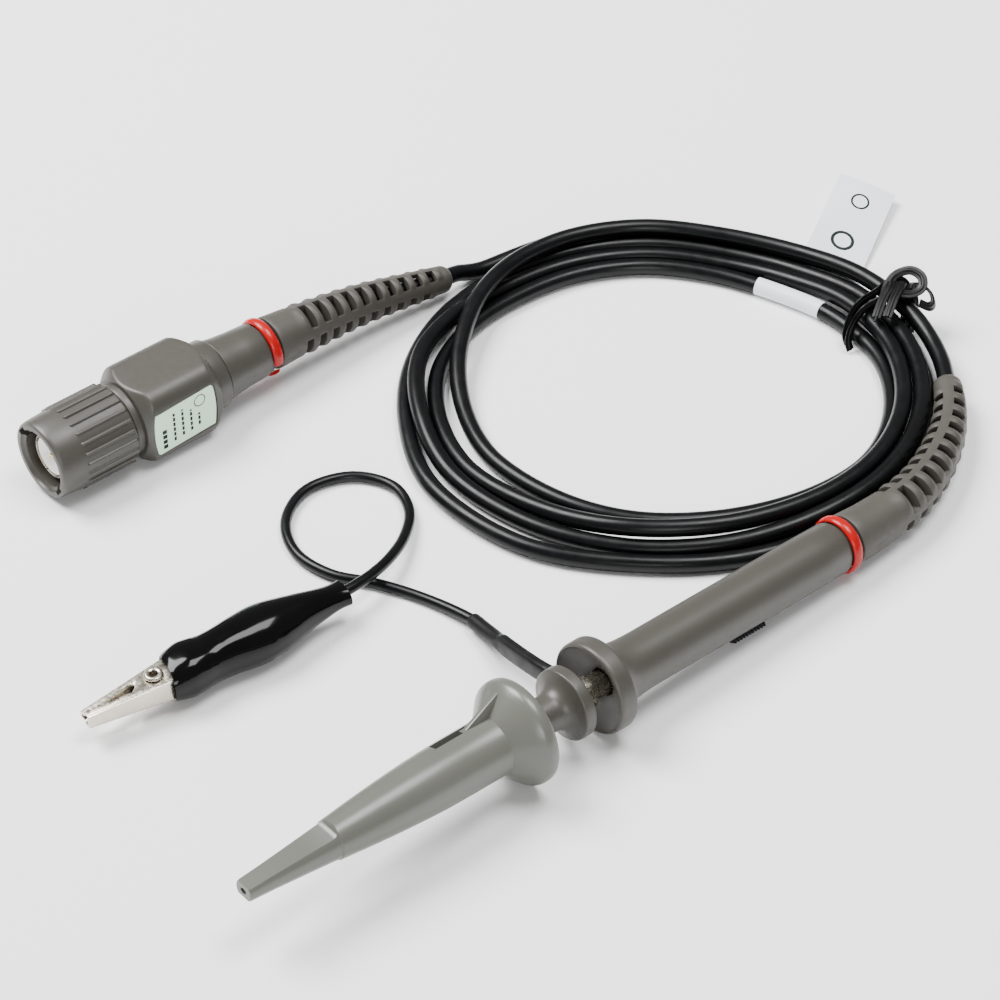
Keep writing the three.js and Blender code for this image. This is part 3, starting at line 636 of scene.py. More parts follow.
# ------ strain relief boots
def windowed_boot(length, base_r, shoulder, shoulder_r, tip_r, solid, windows, roll):
    """Tapered boot with four staggered rows of windows through to the cable."""
    bore = COAX_R + 0.15
    wide_window, narrow_window = 2.5, 0.85
    rib = 0.3
    pitch = (length - solid - 2.2) / (windows + 0.5)
    half = pitch / 2
    fine = 4

    def outer(x):
        if x < shoulder:
            return base_r + (shoulder_r - base_r) * x / shoulder
        end = length - 1.4
        if x < end:
            return shoulder_r + (tip_r - shoulder_r) * (x - shoulder) / (end - shoulder)
        t = (x - end) / (length - end)
        return tip_r - 0.75 * t ** 2.2

    rows = [0, 0.35] + [solid * k / 6 for k in range(1, 6)]
    first = len(rows)
    rows += [solid + half * k / fine for k in range((2 * windows + 1) * fine)]
    rows += [solid + half * (2 * windows + 1)]
    last = len(rows) - 1
    rows += [length - 1.8, length - 1.2, length - 0.8, length - 0.4, length - 0.15, length]
    across = 8
    spar = 4
    per_quarter = across + spar
    columns = 4 * per_quarter

    def angles(x, r, widest):
        run = min(max((x - solid) / (length - solid), 0), 1)
        chord = wide_window + (narrow_window - wide_window) * run
        half_angle = asin(min(chord / r, sin(radians(widest))))
        result = []
        for quarter in range(4):
            centre = quarter * pi / 2 + radians(roll)
            for k in range(across):
                result.append(centre - half_angle + 2 * half_angle * k / across)
            gap = pi / 2 - 2 * half_angle
            for k in range(spar):
                result.append(centre + half_angle + gap * k / spar)
        return result

    def swell(row, column):
        """The ribs between windows stand a little proud and are rounded."""
        if not first <= row <= last:
            return 0
        quarter, place = divmod(column, per_quarter)
        band, step = divmod(row - first, fine)
        if place >= across or band % 2 == quarter % 2 or band > 2 * windows:
            return 0
        along = sin(pi * step / fine)
        return rib * along * sin(pi * (place + 0.5) / (across + 1)) ** 0.5

    points = []
    for row, x in enumerate(rows):
        r = outer(x) - (0.12 if x < 0.3 else 0)
        points.extend(ring_at(x, [r + swell(row, column) for column in range(columns)], angles(x, r, 37)))
    inner_start = len(points)
    for x in rows:
        points.extend(ring_at(x, bore, angles(x, bore, 41)))

    def is_window(row, column):
        if not first <= row < last:
            return False
        quarter, place = divmod(column % columns, per_quarter)
        if place >= across:
            return False
        band = (row - first) // fine
        return band % 2 == quarter % 2 and band < 2 * windows + quarter % 2

    faces = []
    count = len(rows)
    for row in range(count - 1):
        for column in range(columns):
            a = row * columns + column
            b = row * columns + (column + 1) % columns
            quad = (a, b, b + columns, a + columns)
            if is_window(row, column):
                continue
            faces.append(quad)
            faces.append(tuple(v + inner_start for v in reversed(quad)))
            for neighbour, edge in (
                    ((row, column - 1), (a + columns, a)), ((row, column + 1), (b, b + columns)),
                    ((row - 1, column), (a, b)), ((row + 1, column), (b + columns, a + columns))):
                if is_window(*neighbour):
                    u, v = edge
                    faces.append((v, u, u + inner_start, v + inner_start))
    end = (count - 1) * columns
    for column in range(columns):
        following = (column + 1) % columns
        faces.append((following, column, column + inner_start, following + inner_start))
        a, b = end + column, end + following
        faces.append((a, b, b + inner_start, a + inner_start))
    return eased(mesh_from(points, faces), 0.24, 3, 50)


probe_boot = piece(
    "probe_strain_relief",
    bend(windowed_boot(BOOT_LENGTH_PROBE, 4.4, 9, 4.1, 2.5, 10.2, 10, 34), PROBE_BOOT_ROUTE),
    DESIGN, "soft_grey", ["probe_boot"])
bnc_boot = piece(
    "bnc_strain_relief",
    bend(windowed_boot(BOOT_LENGTH_BNC, 4.7, 5, 4.4, 2.45, 5.2, 10, 27), BNC_BOOT_ROUTE),
    DESIGN, "soft_grey", ["bnc_boot"])


# ------ hook adapter
def soft_min(a, b, blend):
    """Smaller of two, with a rounded change from one to the other."""
    return 0.5 * (a + b - sqrt((a - b) ** 2 + blend ** 2))


def at_outline(outline, x):
    """Value at x on straight lines between (x, value) points."""
    for (x0, r0), (x1, r1) in zip(outline, outline[1:]):
        if x <= x1:
            return r0 + (r1 - r0) * max(0.0, x - x0) / (x1 - x0)
    return outline[-1][1]


SPRING_SEAT = -27
SPRING_END = -12.8
SPRING_R = 2.2
WINDOW_ANGLE = -29
FIN_ANGLE = 69


def nose_sleeve():
    """Tapered sleeve with a flared collar, a chisel tip on two sides, a latch window and a fin."""
    outer = [
        (-50, 1.55), (-49.9, 1.68), (-49.6, 1.75), (-46, 1.99), (-40, 2.49), (-34.9, 2.93), (-34.7, 3.13),
        (-31, 3.5), (-28, 3.78), (-25, 4.03), (-22, 4.25), (-19, 4.44), (-16, 4.58), (-12, 4.63),
        (-4.75, 4.65)]
    cone = [
        (-4.7, 4.66), (-1.9, 7.45), (-1.2, 8.08), (-0.85, 8.3), (-0.5, 8.42), (-0.1, 8.46), (0.35, 8.44),
        (0.7, 8.36), (0.93, 8.2), (1.0, 8.0)]
    inner = [
        (1.0, 7.75), (0.9, 7.55), (0.5, 7.45), (-0.4, 7.2), (-1.9, 5), (-3.6, 3.3), (-10, 3.3),
        (SPRING_SEAT, 3.3), (SPRING_SEAT, 0.9), (-46.5, 0.9), (-50, 0.5)]
    shell = turned(outer + cone + inner, 128, loop=True)
    cuts = []
    for side in (0, 180):
        # chisel flat: a block whose near face leans with the tip's taper, with a rounded heel
        flat = eased(boxed(-22, 0, -6, 6, 0, 6), 1.2, 5)
        cuts.append(spun(moved(flat, shift(-34.4, 0, 2.28) @ turn(-4.2, "Y")), side))
    tip_slot = boxed(-51, -43, -0.6, 0.6, -0.3, 0.3)
    window = spun(boxed(-14.6, -9.4, -1.1, 0.75, 2.5, 7), WINDOW_ANGLE)
    latch = spun(boxed(-9.6, -6.9, -0.1, 0.75, 2.5, 7), WINDOW_ANGLE)
    shell = carved(shell, tip_slot, window, latch, *cuts)
    fin = extruded([(-9.0, 4.2), (-3.2, 4.5), (-1.7, 7.4), (-2.0, 7.5), (-8.8, 4.72)], -0.42, 0.42)
    fin = eased(fin, 0.12, 2)
    return joined(shell, spun(fin, FIN_ANGLE))


piece("hook_nose_sleeve", nose_sleeve(), HEAD, "sleeve_plastic", ["nose_sleeve"], 28, "hook_sleeve")


def nose_spring():
    """Compression spring with closed ends, between the sleeve's step and the adapter's front face."""
    coil_x = [-26.4, -26.0, -21.4, -17.1, -13.2, SPRING_END]
    steps = 24
    route = []
    for start, end in zip(coil_x, coil_x[1:]):
        for k, angle in enumerate(even_angles(steps)):
            route += ring_at(start + (end - start) * k / steps, SPRING_R, [angle])
    route += ring_at(SPRING_END, SPRING_R, [0])
    return swept(route, circle(0.27, 12))


spring = piece("hook_return_spring", nose_spring(), HEAD, "steel", ["hook_spring"], 60, "hook_adapter")
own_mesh(spring)


def hook_spool():
    """Adapter's tube with its waist and dish."""
    flare = [(5.6, 2.95), (6.5, 3.05), (7.3, 3.45), (8.0, 4.2), (8.5, 5.1), (8.72, 5.62)]
    outer = [(-12.2, 2.6), (-11.9, 2.95), (0, 2.95)] + smooth_outline(flare, 0.25)
    rim = [(8.85, 5.74, 0.1), (9.05, 5.76), (10.55, 5.76, 0.15), (10.7, 5.6, 0.1), (10.6, 5.2)]
    hollow = [(10.1, 4.4), (9.6, 3.2), (9.5, 2.25), (-3.2, 2.25), (-3.2, 1.6), (-12.2, 1.6)]
    return turned(outer + rim + hollow, 112, loop=True)


piece("hook_spool", hook_spool(), HEAD, "grey_plastic", ["hook_core"], 40, "hook_adapter")


# ------ probe body
def probe_body():
    """Body tube with the finger guard and the switch's slot."""
    guard = [
        (14.2, 7.05, 0.3), (14.35, 7.35, 0.15), (14.75, 7.5, 0.2), (17.0, 7.52, 0.25), (17.35, 7.35, 0.2)]
    fillet = smooth_outline([(17.5, 7.0), (17.8, 6.2), (18.5, 5.5), (19.8, 4.95), (22, 4.6), (25, 4.46)], 0.4)
    tail = [(40, 4.48), (60, 4.48), (66.1, 4.42), (66.4, 4.3, 0.1), (66.5, 3.95), (69, 3.95)]
    inner = [(69, 3.3), (60, 3.7), (17.6, 3.7), (17.6, 2.25), (17.0, 2.3), (16.6, 2.9)]
    bowl = smooth_outline([(16.4, 3.4), (15.9, 4.6), (15.2, 5.9), (14.5, 6.85)], 0.4)
    shell = turned(guard + fillet + tail + inner + bowl, 112, loop=True)
    return carved(shell, spun(boxed(41.8, 51.5, -0.95, 0.95, 2, 6), SWITCH_ANGLE))


piece("probe_body_shell", probe_body(), HEAD, "grey_plastic", ["body_shell"], 32)


def slide_button():
    """Switch's thumb piece with cross ribs, on a stem."""
    thumb = eased(boxed(42.0, 49.1, -0.85, 0.85, 3.95, 4.35), 0.08, 2)
    stem = boxed(44.6, 46.8, -0.85, 0.85, 1.3, 4.2)
    foot = boxed(43.6, 47.8, -1.1, 1.1, 0.9, 1.6)
    ribs, pitch = [], 6.9 / 11
    for i in range(11):
        start = 42.1 + pitch * i
        ribs.append(eased(boxed(start + 0.2 * pitch, start + 0.7 * pitch, -0.8, 0.8, 4.2, 5.35), 0.08, 2))
    return joined(thumb, stem, foot, *ribs)


piece("slide_button", slide_button(), SWITCH_M, "black_plastic", ["switch_slider"], body="switch")


def marker_ring(middle, radius, gap, gap_at):
    """Open colour ring with a domed outside, about X; gap and gap_at are in degrees."""
    count, arc = 120, 12
    width, thick, edge = 0.95, 0.62, 0.15
    start, sweep = radians(gap_at + gap / 2), radians(360 - gap)
    section = [(-width, 0), (-width, edge * thick)]
    for k in range(1, arc):
        angle = pi * k / arc
        section.append((-width * cos(angle), thick * (edge + (1 - edge) * sin(angle))))
    section += [(width, edge * thick), (width, 0)]
    rings = []
    for i in range(count + 1):
        angle = start + sweep * i / count
        rings.append([p for u, v in section for p in ring_at(middle + u, radius + v, [angle])])
    return eased(rings_mesh(rings), 0.06, 2, 60)


piece("probe_marker_ring", marker_ring(MARKER_X, 4.28, 24, 290), HEAD, "red_plastic",
      ["marker_ring_probe"], 50)


# ------ BNC plug
RIBS = 24
NUT_R = 6.98
NUT_LENGTH = 14.8


def coupling_nut():
    """Nut with ribs: ring points sit closer together over each rib."""
    offsets = [-0.80, -0.46, -0.34, -0.24, -0.15, -0.05, 0.05, 0.15, 0.24, 0.34, 0.46, 0.80]
    angles = []
    for middle in even_angles(RIBS):
        angles.extend(middle + pi / RIBS + d / NUT_R for d in offsets)
    near = offsets * RIBS
    rib_height = 0.34
    rib_half = 0.27

    def rib(x, offset):
        before = max(0.0, 4.95 - x)
        after = max(0.0, x - (NUT_LENGTH - 0.55))
        d = hypot(offset, before, after) / rib_half
        return rib_height * sqrt(max(0.0, 1 - d ** 3))

    outside = [(0.0, 6.35), (0.08, 6.5), (0.3, 6.66), (0.8, 6.78), (2, 6.88), (3.4, 6.95)]
    outside += [(x, NUT_R) for x in (4.2, 4.6, 4.68, 4.76, 4.84, 4.95, 6, 8, 10, 12, 14.1, 14.3, 14.45)]
    outside += [(14.55, 6.95), (14.7, 6.86), (NUT_LENGTH, 6.7)]
    inside = [
        (NUT_LENGTH, 6.05), (11.4, 6), (11.4, 4.5), (9.9, 4.5), (9.9, 5.7), (4.4, 5.7), (4.4, 4.95),
        (0.75, 4.95), (0.55, 5.2), (0.35, 5.42), (0.0, 5.55)]
    rings = [ring_at(x, [r + rib(x, d) for d in near], angles) for x, r in outside]
    rings += [ring_at(x, r, angles) for x, r in inside]
    nut = rings_mesh(rings, loop=True)
    slots = [spun(boxed(-1, 4.8, -1.05, 1.05, 4, 6.15), angle) for angle in (128, 308)]
    return carved(nut, *slots)


piece("bnc_coupling_nut", coupling_nut(), PLUG, "grey_plastic", ["coupling_nut"], 42, "nut")


def plug_shell():
    """Contact shell with four slits."""
    shell = turned([
        (1.7, 3.75, 0.05), (1.8, 3.95, 0.1), (2.1, 4.05), (6.6, 4.05), (6.9, 4.8), (8.2, 4.8), (8.2, 4.2),
        (18.6, 4.2), (18.6, 3.6), (1.7, 3.6)], loop=True)
    cuts = [spun(boxed(0, 4.6, -0.12, 0.12, 3, 5), angle) for angle in (20, 110, 200, 290)]
    return carved(shell, *cuts)


piece("bnc_contact_shell", plug_shell(), PLUG, "nickel", ["bnc_body"], 35)
piece("bnc_insulator_cup", turned([
    (1.95, 3.2, 0.15), (1.95, 3.42, 0.1), (2.15, 3.45), (16, 3.45), (16, 1.1), (5.6, 1.1), (5.5, 1.15),
    (3.0, 2.35), (2.2, 2.95)], loop=True), PLUG, "white_plastic", ["bnc_insulator"], 40)
piece("bnc_centre_pin", turned([
    (2.0, 0), (2.05, 0.25), (2.25, 0.45), (2.8, 0.64), (3.3, 0.68), (19, 0.68), (19, 0)], 48),
    PLUG, "gold", ["bnc_pin"], 40)


BOX_HALF = 7.2
LABEL_SEAT = shift(0, -BOX_HALF + 0.16, 0) @ turn(90, "X")


def square_radius(angle, half, corner):
    """Distance from the middle to the edge of a rounded square."""
    c, s = abs(cos(angle)), abs(sin(angle))
    flat = half / max(c, s)
    inner = half - corner
    # where the ray meets the corner arc
    b = inner * (c + s)
    root = b * b - 2 * inner * inner + corner * corner
    if root <= 0:
        return flat
    arc = b + sqrt(root)
    return arc if min(arc * c, arc * s) >= inner - 1e-6 else flat


def comp_box():
    """Square box with a round boss and a round collar; its end faces cut across the corners as cones."""
    angles = even_angles(144)
    corners = [square_radius(a, BOX_HALF, 3.6) for a in angles]
    boss = [(15.1, 6.12), (15.15, 6.24), (15.3, 6.3), (16.3, 6.3), (16.4, 6.8)]
    cones = [(16.4, 6.95), (18.9, 9.5), (29.2, 9.5), (31.5, 7.25)]
    rows = [16.45] + [16.5 + 0.2 * k for k in range(14)] + [20, 22, 24, 26, 28]
    rows += [28.6 + 0.2 * k for k in range(15)] + [31.45]
    tail = [(31.5, 6.7), (31.52, 6.2), (34.3, 6.12), (34.5, 6.0), (34.5, 5.05), (29.9, 5.05), (29.9, 5.9),
            (19.6, 5.9), (19.6, 4.5), (15.1, 4.5)]
    rings = [ring_at(x, r, angles) for x, r in boss]
    for x in rows:
        cone = at_outline(cones, x)
        rings.append(ring_at(x, [soft_min(r, cone, 0.18) for r in corners], angles))
    rings += [ring_at(x, r, angles) for x, r in tail]
    shell = rings_mesh(rings, loop=True)
    seat = moved(extruded(label_outline(0.25), 0, 1), LABEL_SEAT)
    trimmer = moved(turned([(0, 0), (0, 1.4), (4, 1.4), (4, 0)], 40), shift(24, 5, 0) @ turn(90, "Z"))
    return carved(shell, seat, trimmer)


def label_outline(extra):
    """Label seen from outside: x along the plug, y up; short sides bow outwards, corners are rounded."""
    half_x, half_y, bow, corner = 5.7 + extra, 4.45 + extra, 0.5, 0.7
    middle = 23.9
    points = []
    for side in (1, -1):
        for k in range(13):
            y = side * (-half_y + corner + (2 * half_y - 2 * corner) * k / 12)
            x = half_x + bow * (1 - (y / half_y) ** 2)
            points.append((middle + side * x, y))
        for k in range(1, 6):
            angle = radians(90 * k / 6)
            x = half_x + bow * (1 - ((half_y - corner) / half_y) ** 2) - corner + corner * cos(angle)
            y = half_y - corner + corner * sin(angle)
            points.append((middle + side * x, side * y))
    return points


piece("comp_box_shell", comp_box(), PLUG, "grey_plastic", ["box_shell"], 34)
ON_LABEL = PLUG @ LABEL_SEAT
piece("comp_box_label", eased(extruded(label_outline(0), -0.02, 0.14), 0.03, 1), ON_LABEL, "mint_label",
      ["box_label"])


def label_marks():
    """Plain bars where a label carries its print, and a plain ring."""
    bars = []
    lines = [(19.6, -3.6, 0.2, 0.42), (21.6, -3.0, 2.6, 0.22), (23.3, -2.7, 2.6, 0.22),
             (25.0, -2.6, 1.7, 0.22), (26.6, -2.2, 0.2, 0.22)]
    for x, low, high, thick in lines:
        y = low
        while y < high:
            bars.append(boxed(x - thick, x + thick, y, min(y + 0.75, high), 0.13, 0.155))
            y += 1.0
    ring = turned([(0, 1.15), (0.03, 1.15), (0.03, 0.98), (0, 0.98)], 48, loop=True)
    ring = moved(ring, shift(26.9, 2.6, 0.128) @ turn(-90, "Y"))
    return joined(ring, *bars)


piece("comp_box_label_marks", label_marks(), ON_LABEL, "label_ink")
piece("plug_neck_sleeve", turned([
    (34.8, 5.4, 0.05), (34.9, 5.6, 0.1), (37, 5.28), (40, 5.02), (43.7, 4.86), (44.0, 4.7, 0.1), (44.05, 4.3),
    (46.2, 4.3), (46.2, 3.2), (34.8, 3.2)], loop=True), PLUG, "grey_plastic", ["neck_sleeve"])
piece("plug_marker_ring", marker_ring(45.15, 4.62, 30, 205), PLUG, "red_plastic", ["marker_ring_bnc"], 50)

# ------ ground lead and its clip
SHEET = 0.4
EAR_OUTER = 1.85
JAW_TAPER = 0.0594


def lofted(sections, sides=48):
    """Rings along X from (x, half width in y, half height in z, power); a power of 1 is an ellipse."""
    rings = []
    for x, wide, high, power in sections:
        ring = []
        for c, d in circle(1, sides):
            y, z = copysign(abs(c) ** power, c), copysign(abs(d) ** power, d)
            ring.append((x, wide * y, high * z))
        rings.append(ring)
    return rings


def smooth_sections(corners, step):
    """Sections along a smooth run through the corner sections, one about every step."""
    wide = smooth_outline([(c[0], c[1]) for c in corners], step)
    high = smooth_outline([(c[0], c[2]) for c in corners], step)
    power = [(c[0], c[3]) for c in corners]
    return [(x, y, at_outline(high, x), at_outline(power, x)) for x, y in wide]


def teeth(from_x, to_x, count, y, depth):
    """Saw edge of a jaw."""
    pitch = (to_x - from_x) / count
    points = []
    for i in range(count):
        points += [(from_x + pitch * i, y), (from_x + pitch * (i + 0.5), y + depth)]
    return points


def sheet_jaw(cheek, web, half, extras):
    """Folded sheet: two cheeks joined by a web, narrowed towards the tip, with the rivet's hole."""
    base = extruded(web, -half, half)
    others = [extruded(cheek, half - SHEET, half), extruded(cheek, -half, -half + SHEET)] + extras
    hole = moved(turned([(-4, 0), (-4, 0.95), (4, 0.95), (4, 0)], 40), turn(90, "Y"))
    body = carved(carved(base, *others, operation="UNION"), hole)
    body = eased(body, 0.06, 2, 40)
    for vertex in body.vertices:
        if vertex.co.x < 0:
            vertex.co.z *= 1 + JAW_TAPER * vertex.co.x / half
    return body


def fixed_jaw():
    """Jaw with round ears, and a tail that ends in the wire's crimp."""
    cheek = [(-12, -1.25), (2, -2.8), (4, -2.8), (4, -0.6), (3.1, 0.5), (2, 1.3), (0.4, 1.62), (-1.4, 1.5),
             (-2.4, 1.1), (-3.1, 0.4), (-3.5, -0.3), (-4.4, -0.95), (-5.6, -1.05), (-7.2, -0.7), (-8.1, -0.3)]
    cheek += teeth(-8.3, -11.7, 4, -0.25, 0.5) + [(-12, 0.15)]
    web = [(-12, -1.25), (2, -2.8), (4, -2.8), (4, -2.4), (2, -2.4), (-12, -0.85)]
    tail = extruded([(3.6, -2.8), (12, -2.9), (24, -1.4), (24, -1), (12, -2.5), (3.6, -2.4)], -1.4, 1.4)
    crimp = turned([(24, 1.2), (24, 1.55), (30, 1.55), (30, 1.2)], 32, loop=True)
    bridge = boxed(23.4, 24.4, -1.5, 0, -0.8, 0.8)
    return sheet_jaw(cheek, web, EAR_OUTER, [tail, crimp, bridge])


def moving_jaw():
    """Narrower jaw between the fixed one's ears; its edge arches back behind the teeth."""
    half = EAR_OUTER - SHEET - 0.25
    cheek = [(-12, 1.25), (-12, 0.1)] + teeth(-11.6, -8.4, 3, 0.25, -0.45)
    cheek += [
        (-8.1, 0.35), (-7.8, 0.75), (-7.3, 0.6), (-7.0, 1.0), (-6.5, 0.8), (-6.2, 1.2), (-5.6, 1.0),
        (-5.3, 1.35), (-4.6, 1.2), (-4.0, 1.3), (-3.0, 1.1), (-2.5, 0.3), (-2.0, -0.9), (1, -1.2),
        (2.4, 0.4), (4, 3.2)]
    web = [(-12, 1.25), (-12, 0.85), (4, 2.8), (4, 3.2)]
    tail = extruded([(3.6, 3.15), (3.6, 2.75), (12, 2.7), (13.5, 2.65), (13.5, 3.05), (12, 3.1)], -half, half)
    return sheet_jaw(cheek, web, half, [tail])


def clip_rivet():
    """Hollow rivet, rolled over at both ends."""
    half = [(1.97, 0.85), (1.97, 1.35), (2.04, 1.5, 0.05), (2.2, 1.5, 0.1), (2.42, 1.25, 0.1),
            (2.44, 0.95, 0.1), (2.3, 0.72)]
    other = [(-c[0], *c[1:]) for c in reversed(half)]
    bore = [(2.0, 0.66), (-2.0, 0.66)]
    return moved(turned(other + half + bore, 56, loop=True), turn(90, "Y"))


def clip_boot():
    """Dipped vinyl sleeve: uneven swells, a dip behind the mouth, and a flattened, flared rear end."""
    corners = [
        (0.5, 3.65, 2.95, 0.8), (1.0, 3.8, 3.15, 0.8), (2.6, 4.05, 3.5, 0.78), (4.6, 4.3, 3.8, 0.78),
        (7.0, 4.1, 3.75, 0.8), (9.6, 3.8, 3.65, 0.84), (12.4, 3.95, 3.85, 0.86), (15.4, 4.35, 4.1, 0.88),
        (18.2, 4.65, 4.25, 0.9), (20.6, 4.5, 4.2, 0.94), (23.2, 3.95, 3.95, 1), (26, 3.25, 3.5, 1),
        (28.6, 2.65, 2.9, 1), (31, 2.3, 2.3, 0.98), (32.8, 2.25, 1.9, 0.94), (34.2, 2.45, 1.7, 0.9)]
    outer = smooth_sections(corners, 0.5)
    wall = 0.45
    rings = lofted([(0.62, 3.5, 2.8, 0.8)] + outer, 64)
    inner = [(34.25, 2.15, 1.4, 0.9), (34.0, 2.0, 1.3, 0.9)]
    inner += [(x, y - wall, z - wall, power) for x, y, z, power in reversed(outer[4:-2])]
    inner.append((0.9, 3.3, 2.6, 0.8))
    mesh = rings_mesh(rings + lofted(inner, 64), loop=True)
    for vertex in mesh.vertices:
        x, y, z = vertex.co
        swell = 0.05 * sin(0.9 * x + 0.5 * z)
        swell += 0.07 * sin(0.55 * x - 0.9 * y) * cos(0.7 * z + 0.3 * x)
        fade = min(1.0, max(0.0, (x - 1.5) / 3)) * min(1.0, max(0.0, (33 - x) / 3))
        # the mouth is cut aslant, further back on the moving jaw's side
        back = max(0.0, 1 - x / 9) * (1.9 + 0.22 * y)
        vertex.co = (x + back, y * (1 + 0.25 * swell * fade), z * (1 + 0.1 * (swell - 0.1) * fade))
    return mesh


jaw_a = piece("clip_jaw_fixed", fixed_jaw(), CLIP_M, "nickel", ["clip_fixed_jaw"])
jaw_b = piece("clip_jaw_moving", moving_jaw(), CLIP_M, "nickel", ["clip_moving_jaw"], body="clip_jaw")
rivet = piece("clip_eyelet", clip_rivet(), CLIP_M, "nickel", ["clip_rivet"])
vinyl = piece("clip_vinyl_boot", clip_boot(), CLIP_M, "black_vinyl", ["clip_boot"], 60)

SHRINK_ROUTE = Route([*SHRINK_START, (12.2, 8.9, 6.8), (12.0, 5.9, 7.6)])


def heat_shrink():
    """Tube that hugs the wire first and lies flat over the clip's tab after a step."""
    end = SHRINK_ROUTE.length
    sections = [(0, 1.12, 1.12, 1), (0.12, 1.24, 1.24, 1)]
    sections += [(0.5 + 0.5 * i, 1.26, 1.26, 1) for i in range(14)]
    sections += [(8.0, 1.24, 1.3, 1), (8.5, 1.2, 1.42, 0.9), (9.0, 1.12, 1.6, 0.8), (9.4, 1.06, 1.68, 0.72)]
    sections += [(10 + 0.5 * i, 1.04, 1.7, 0.68) for i in range(int((end - 10.3) / 0.5))]
    sections += [(end - 0.25, 1.04, 1.7, 0.68), (end, 0.95, 1.55, 0.7)]
    rings = lofted([(-0.02, 0.95, 0.95, 1)] + sections, 40)
    return bend(rings_mesh(rings), SHRINK_ROUTE)


shrink = piece("ground_heat_shrink", heat_shrink(), DESIGN, "shrink_tube", ["ground_shrink"], 50)


# ------ flag, label wrap and twist tie
FLAG = [Vector(corner) for corner in (
    (121.6, 60.8, 0.35), (123.8, 49.0, 0.35), (147.7, 61.9, 1.7), (144.6, 72.8, 2.3))]


def on_flag(u, v, lift=0.0):
    """Place on the flag: u along it from the coil outwards, v across it."""
    near = FLAG[0].lerp(FLAG[1], v)
    far = FLAG[3].lerp(FLAG[2], v)
    point = near.lerp(far, u)
    curl = 0.3 * sin(pi * v) * u - 0.5 * sin(pi * u)
    return point + Vector((0, 0, max(-0.15, curl) * 0.6 + lift))


def flag_sheet():
    """Thin sheet with a slight curl."""
    across, along = 10, 20
    points = [on_flag(i / along, j / across) for i in range(along + 1) for j in range(across + 1)]
    faces = []
    for i in range(along):
        for j in range(across):
            a = i * (across + 1) + j
            faces.append((a, a + 1, a + across + 2, a + across + 1))
    return shaped(mesh_from(points, faces), [("SOLIDIFY", {"thickness": 0.16, "offset": 0})])


def flag_marks():
    """Two plain rings in place of the flag's print: (place along, radius, stroke), as parts of its width."""
    meshes = []
    sides = 40
    width_by_length = 0.48
    for along, radius, stroke in ((0.80, 0.16, 0.035), (0.36, 0.2, 0.055)):
        points = [on_flag(along + width_by_length * u, 0.5 + v, 0.1)
                  for r in (radius, radius - stroke) for u, v in circle(r, sides)]
        meshes.append(mesh_from(points, ring_faces(sides, 0, sides)))
    return shaped(joined(*meshes), [("SOLIDIFY", {"thickness": 0.04, "offset": 0})])


flag = piece("label_flag_sheet", flag_sheet(), DESIGN, "white_vinyl", ["label_flag"])
flag_print = piece("label_flag_marks", flag_marks(), DESIGN, "label_ink")


def nearest_run(route, target):
    """Length along a route at which it passes nearest to a place."""
    step = 0.5
    count = int(route.length / step)
    return min((step * i for i in range(count)), key=lambda s: (route.at(s)[0] - target).length)


def label_wrap():
    """Sleeve of label round the inner turn."""
    start = nearest_run(coax_route, on_coil(16, 34.3))
    end = nearest_run(coax_route, on_coil(-5, 36.2))
    points = [coax_route.at(start + (end - start) * i / 24)[0] + Vector((0, 0, 0.08)) for i in range(25)]
    return swept(points, circle(1.58, 40))


wrap = piece("label_wrap", label_wrap(), DESIGN, "white_vinyl")

# section of the twist tie: a flat strip over a round wire
RIBBON = [
    (0.85, 0), (0.75, 0.14), (0.34, 0.18), (0.2, 0.32), (0, 0.38), (-0.2, 0.32), (-0.34, 0.18),
    (-0.75, 0.14), (-0.85, 0), (-0.75, -0.14), (-0.34, -0.18), (0, -0.22), (0.34, -0.18), (0.75, -0.14)]


def ribbon(points):
    """Twist tie along a smooth curve through points."""
    return swept(Route(points).even(0.45), RIBBON)


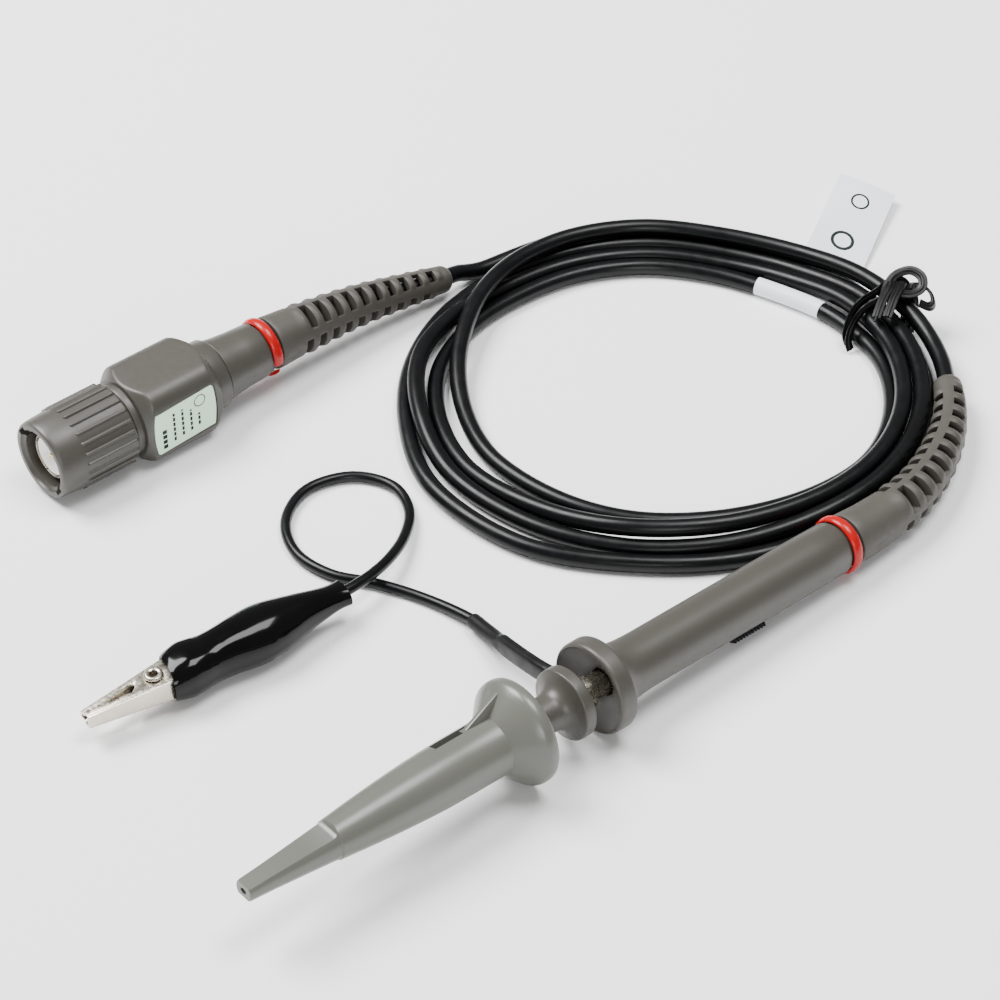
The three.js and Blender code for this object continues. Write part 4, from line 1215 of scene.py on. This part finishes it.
def tie_wrap(lag):
    """Once over the bundle, from the floor inside it to the floor outside it."""
    steps = [(-22, 35.5, 0.55), (-21, 35.3, 1.9), (-19.5, 36.4, 4.6), (-18, 38.6, 6.3), (-17, 41.2, 6.6),
             (-16.5, 43.4, 7.0), (-16.5, 45.6, 8.1), (-17, 47.6, 7.8), (-18, 48.6, 6.2), (-19, 48.4, 3.9),
             (-20, 47.6, 1.9), (-20.5, 47.2, 0.6)]
    return ribbon([on_coil(a + lag, r + 0.12 * lag, z) for a, r, z in steps])


def tie_loops():
    """Two bows that stand up from the knot."""
    first = [
        (117.6, 37.2, 7.6), (119.6, 38.4, 8.3), (121.8, 38.6, 9.5), (123.7, 37.0, 10.4), (123.9, 34.6, 10.2),
        (122.6, 33.2, 9.2), (121.0, 33.8, 8.5), (119.6, 35.6, 8.3), (118.2, 37.0, 8.1)]
    second = [
        (121.5, 34.6, 8.6), (123.3, 35.6, 8.3), (125.0, 35.2, 7.5), (125.4, 33.4, 6.5), (124.2, 31.7, 6.0),
        (122.4, 31.2, 6.5), (121.2, 32.2, 7.3)]
    return joined(ribbon(first), ribbon(second))


def tie_tails():
    """Two ends of the tie, with a bare wire at one."""
    first = [
        (120.6, 38.2, 8.7), (119.2, 37.4, 9.0), (116.9, 36.6, 8.5), (114.8, 35.6, 7.8), (112.9, 34.6, 7.0)]
    second = [
        (121.4, 36.8, 9.0), (120.0, 36.0, 9.1), (118.0, 35.2, 8.7), (116.0, 34.2, 8.0), (114.2, 33.3, 7.2)]
    wire = [(113.3, 34.8, 7.2), (112.6, 34.45, 6.9), (112.2, 34.25, 6.7)]
    return joined(ribbon(first), ribbon(second), swept(Route(wire).even(0.3), circle(0.22, 12)))


ties = [piece(name, mesh, DESIGN, "black_plastic", replaces) for name, mesh, replaces in (
    ("twist_tie_wrap", joined(tie_wrap(0), tie_wrap(2.9)), ["wire_tie"]),
    ("twist_tie_loops", tie_loops(), []),
    ("twist_tie_tails", tie_tails(), []))]

# ------ materials of the CAD nodes that show
for entry in frame["record"]["subparts"]:
    node = NODES.get(entry["node"])
    if node:
        node.data.materials.clear()
        node.data.materials.append(LOOK[entry["material_slot"]])
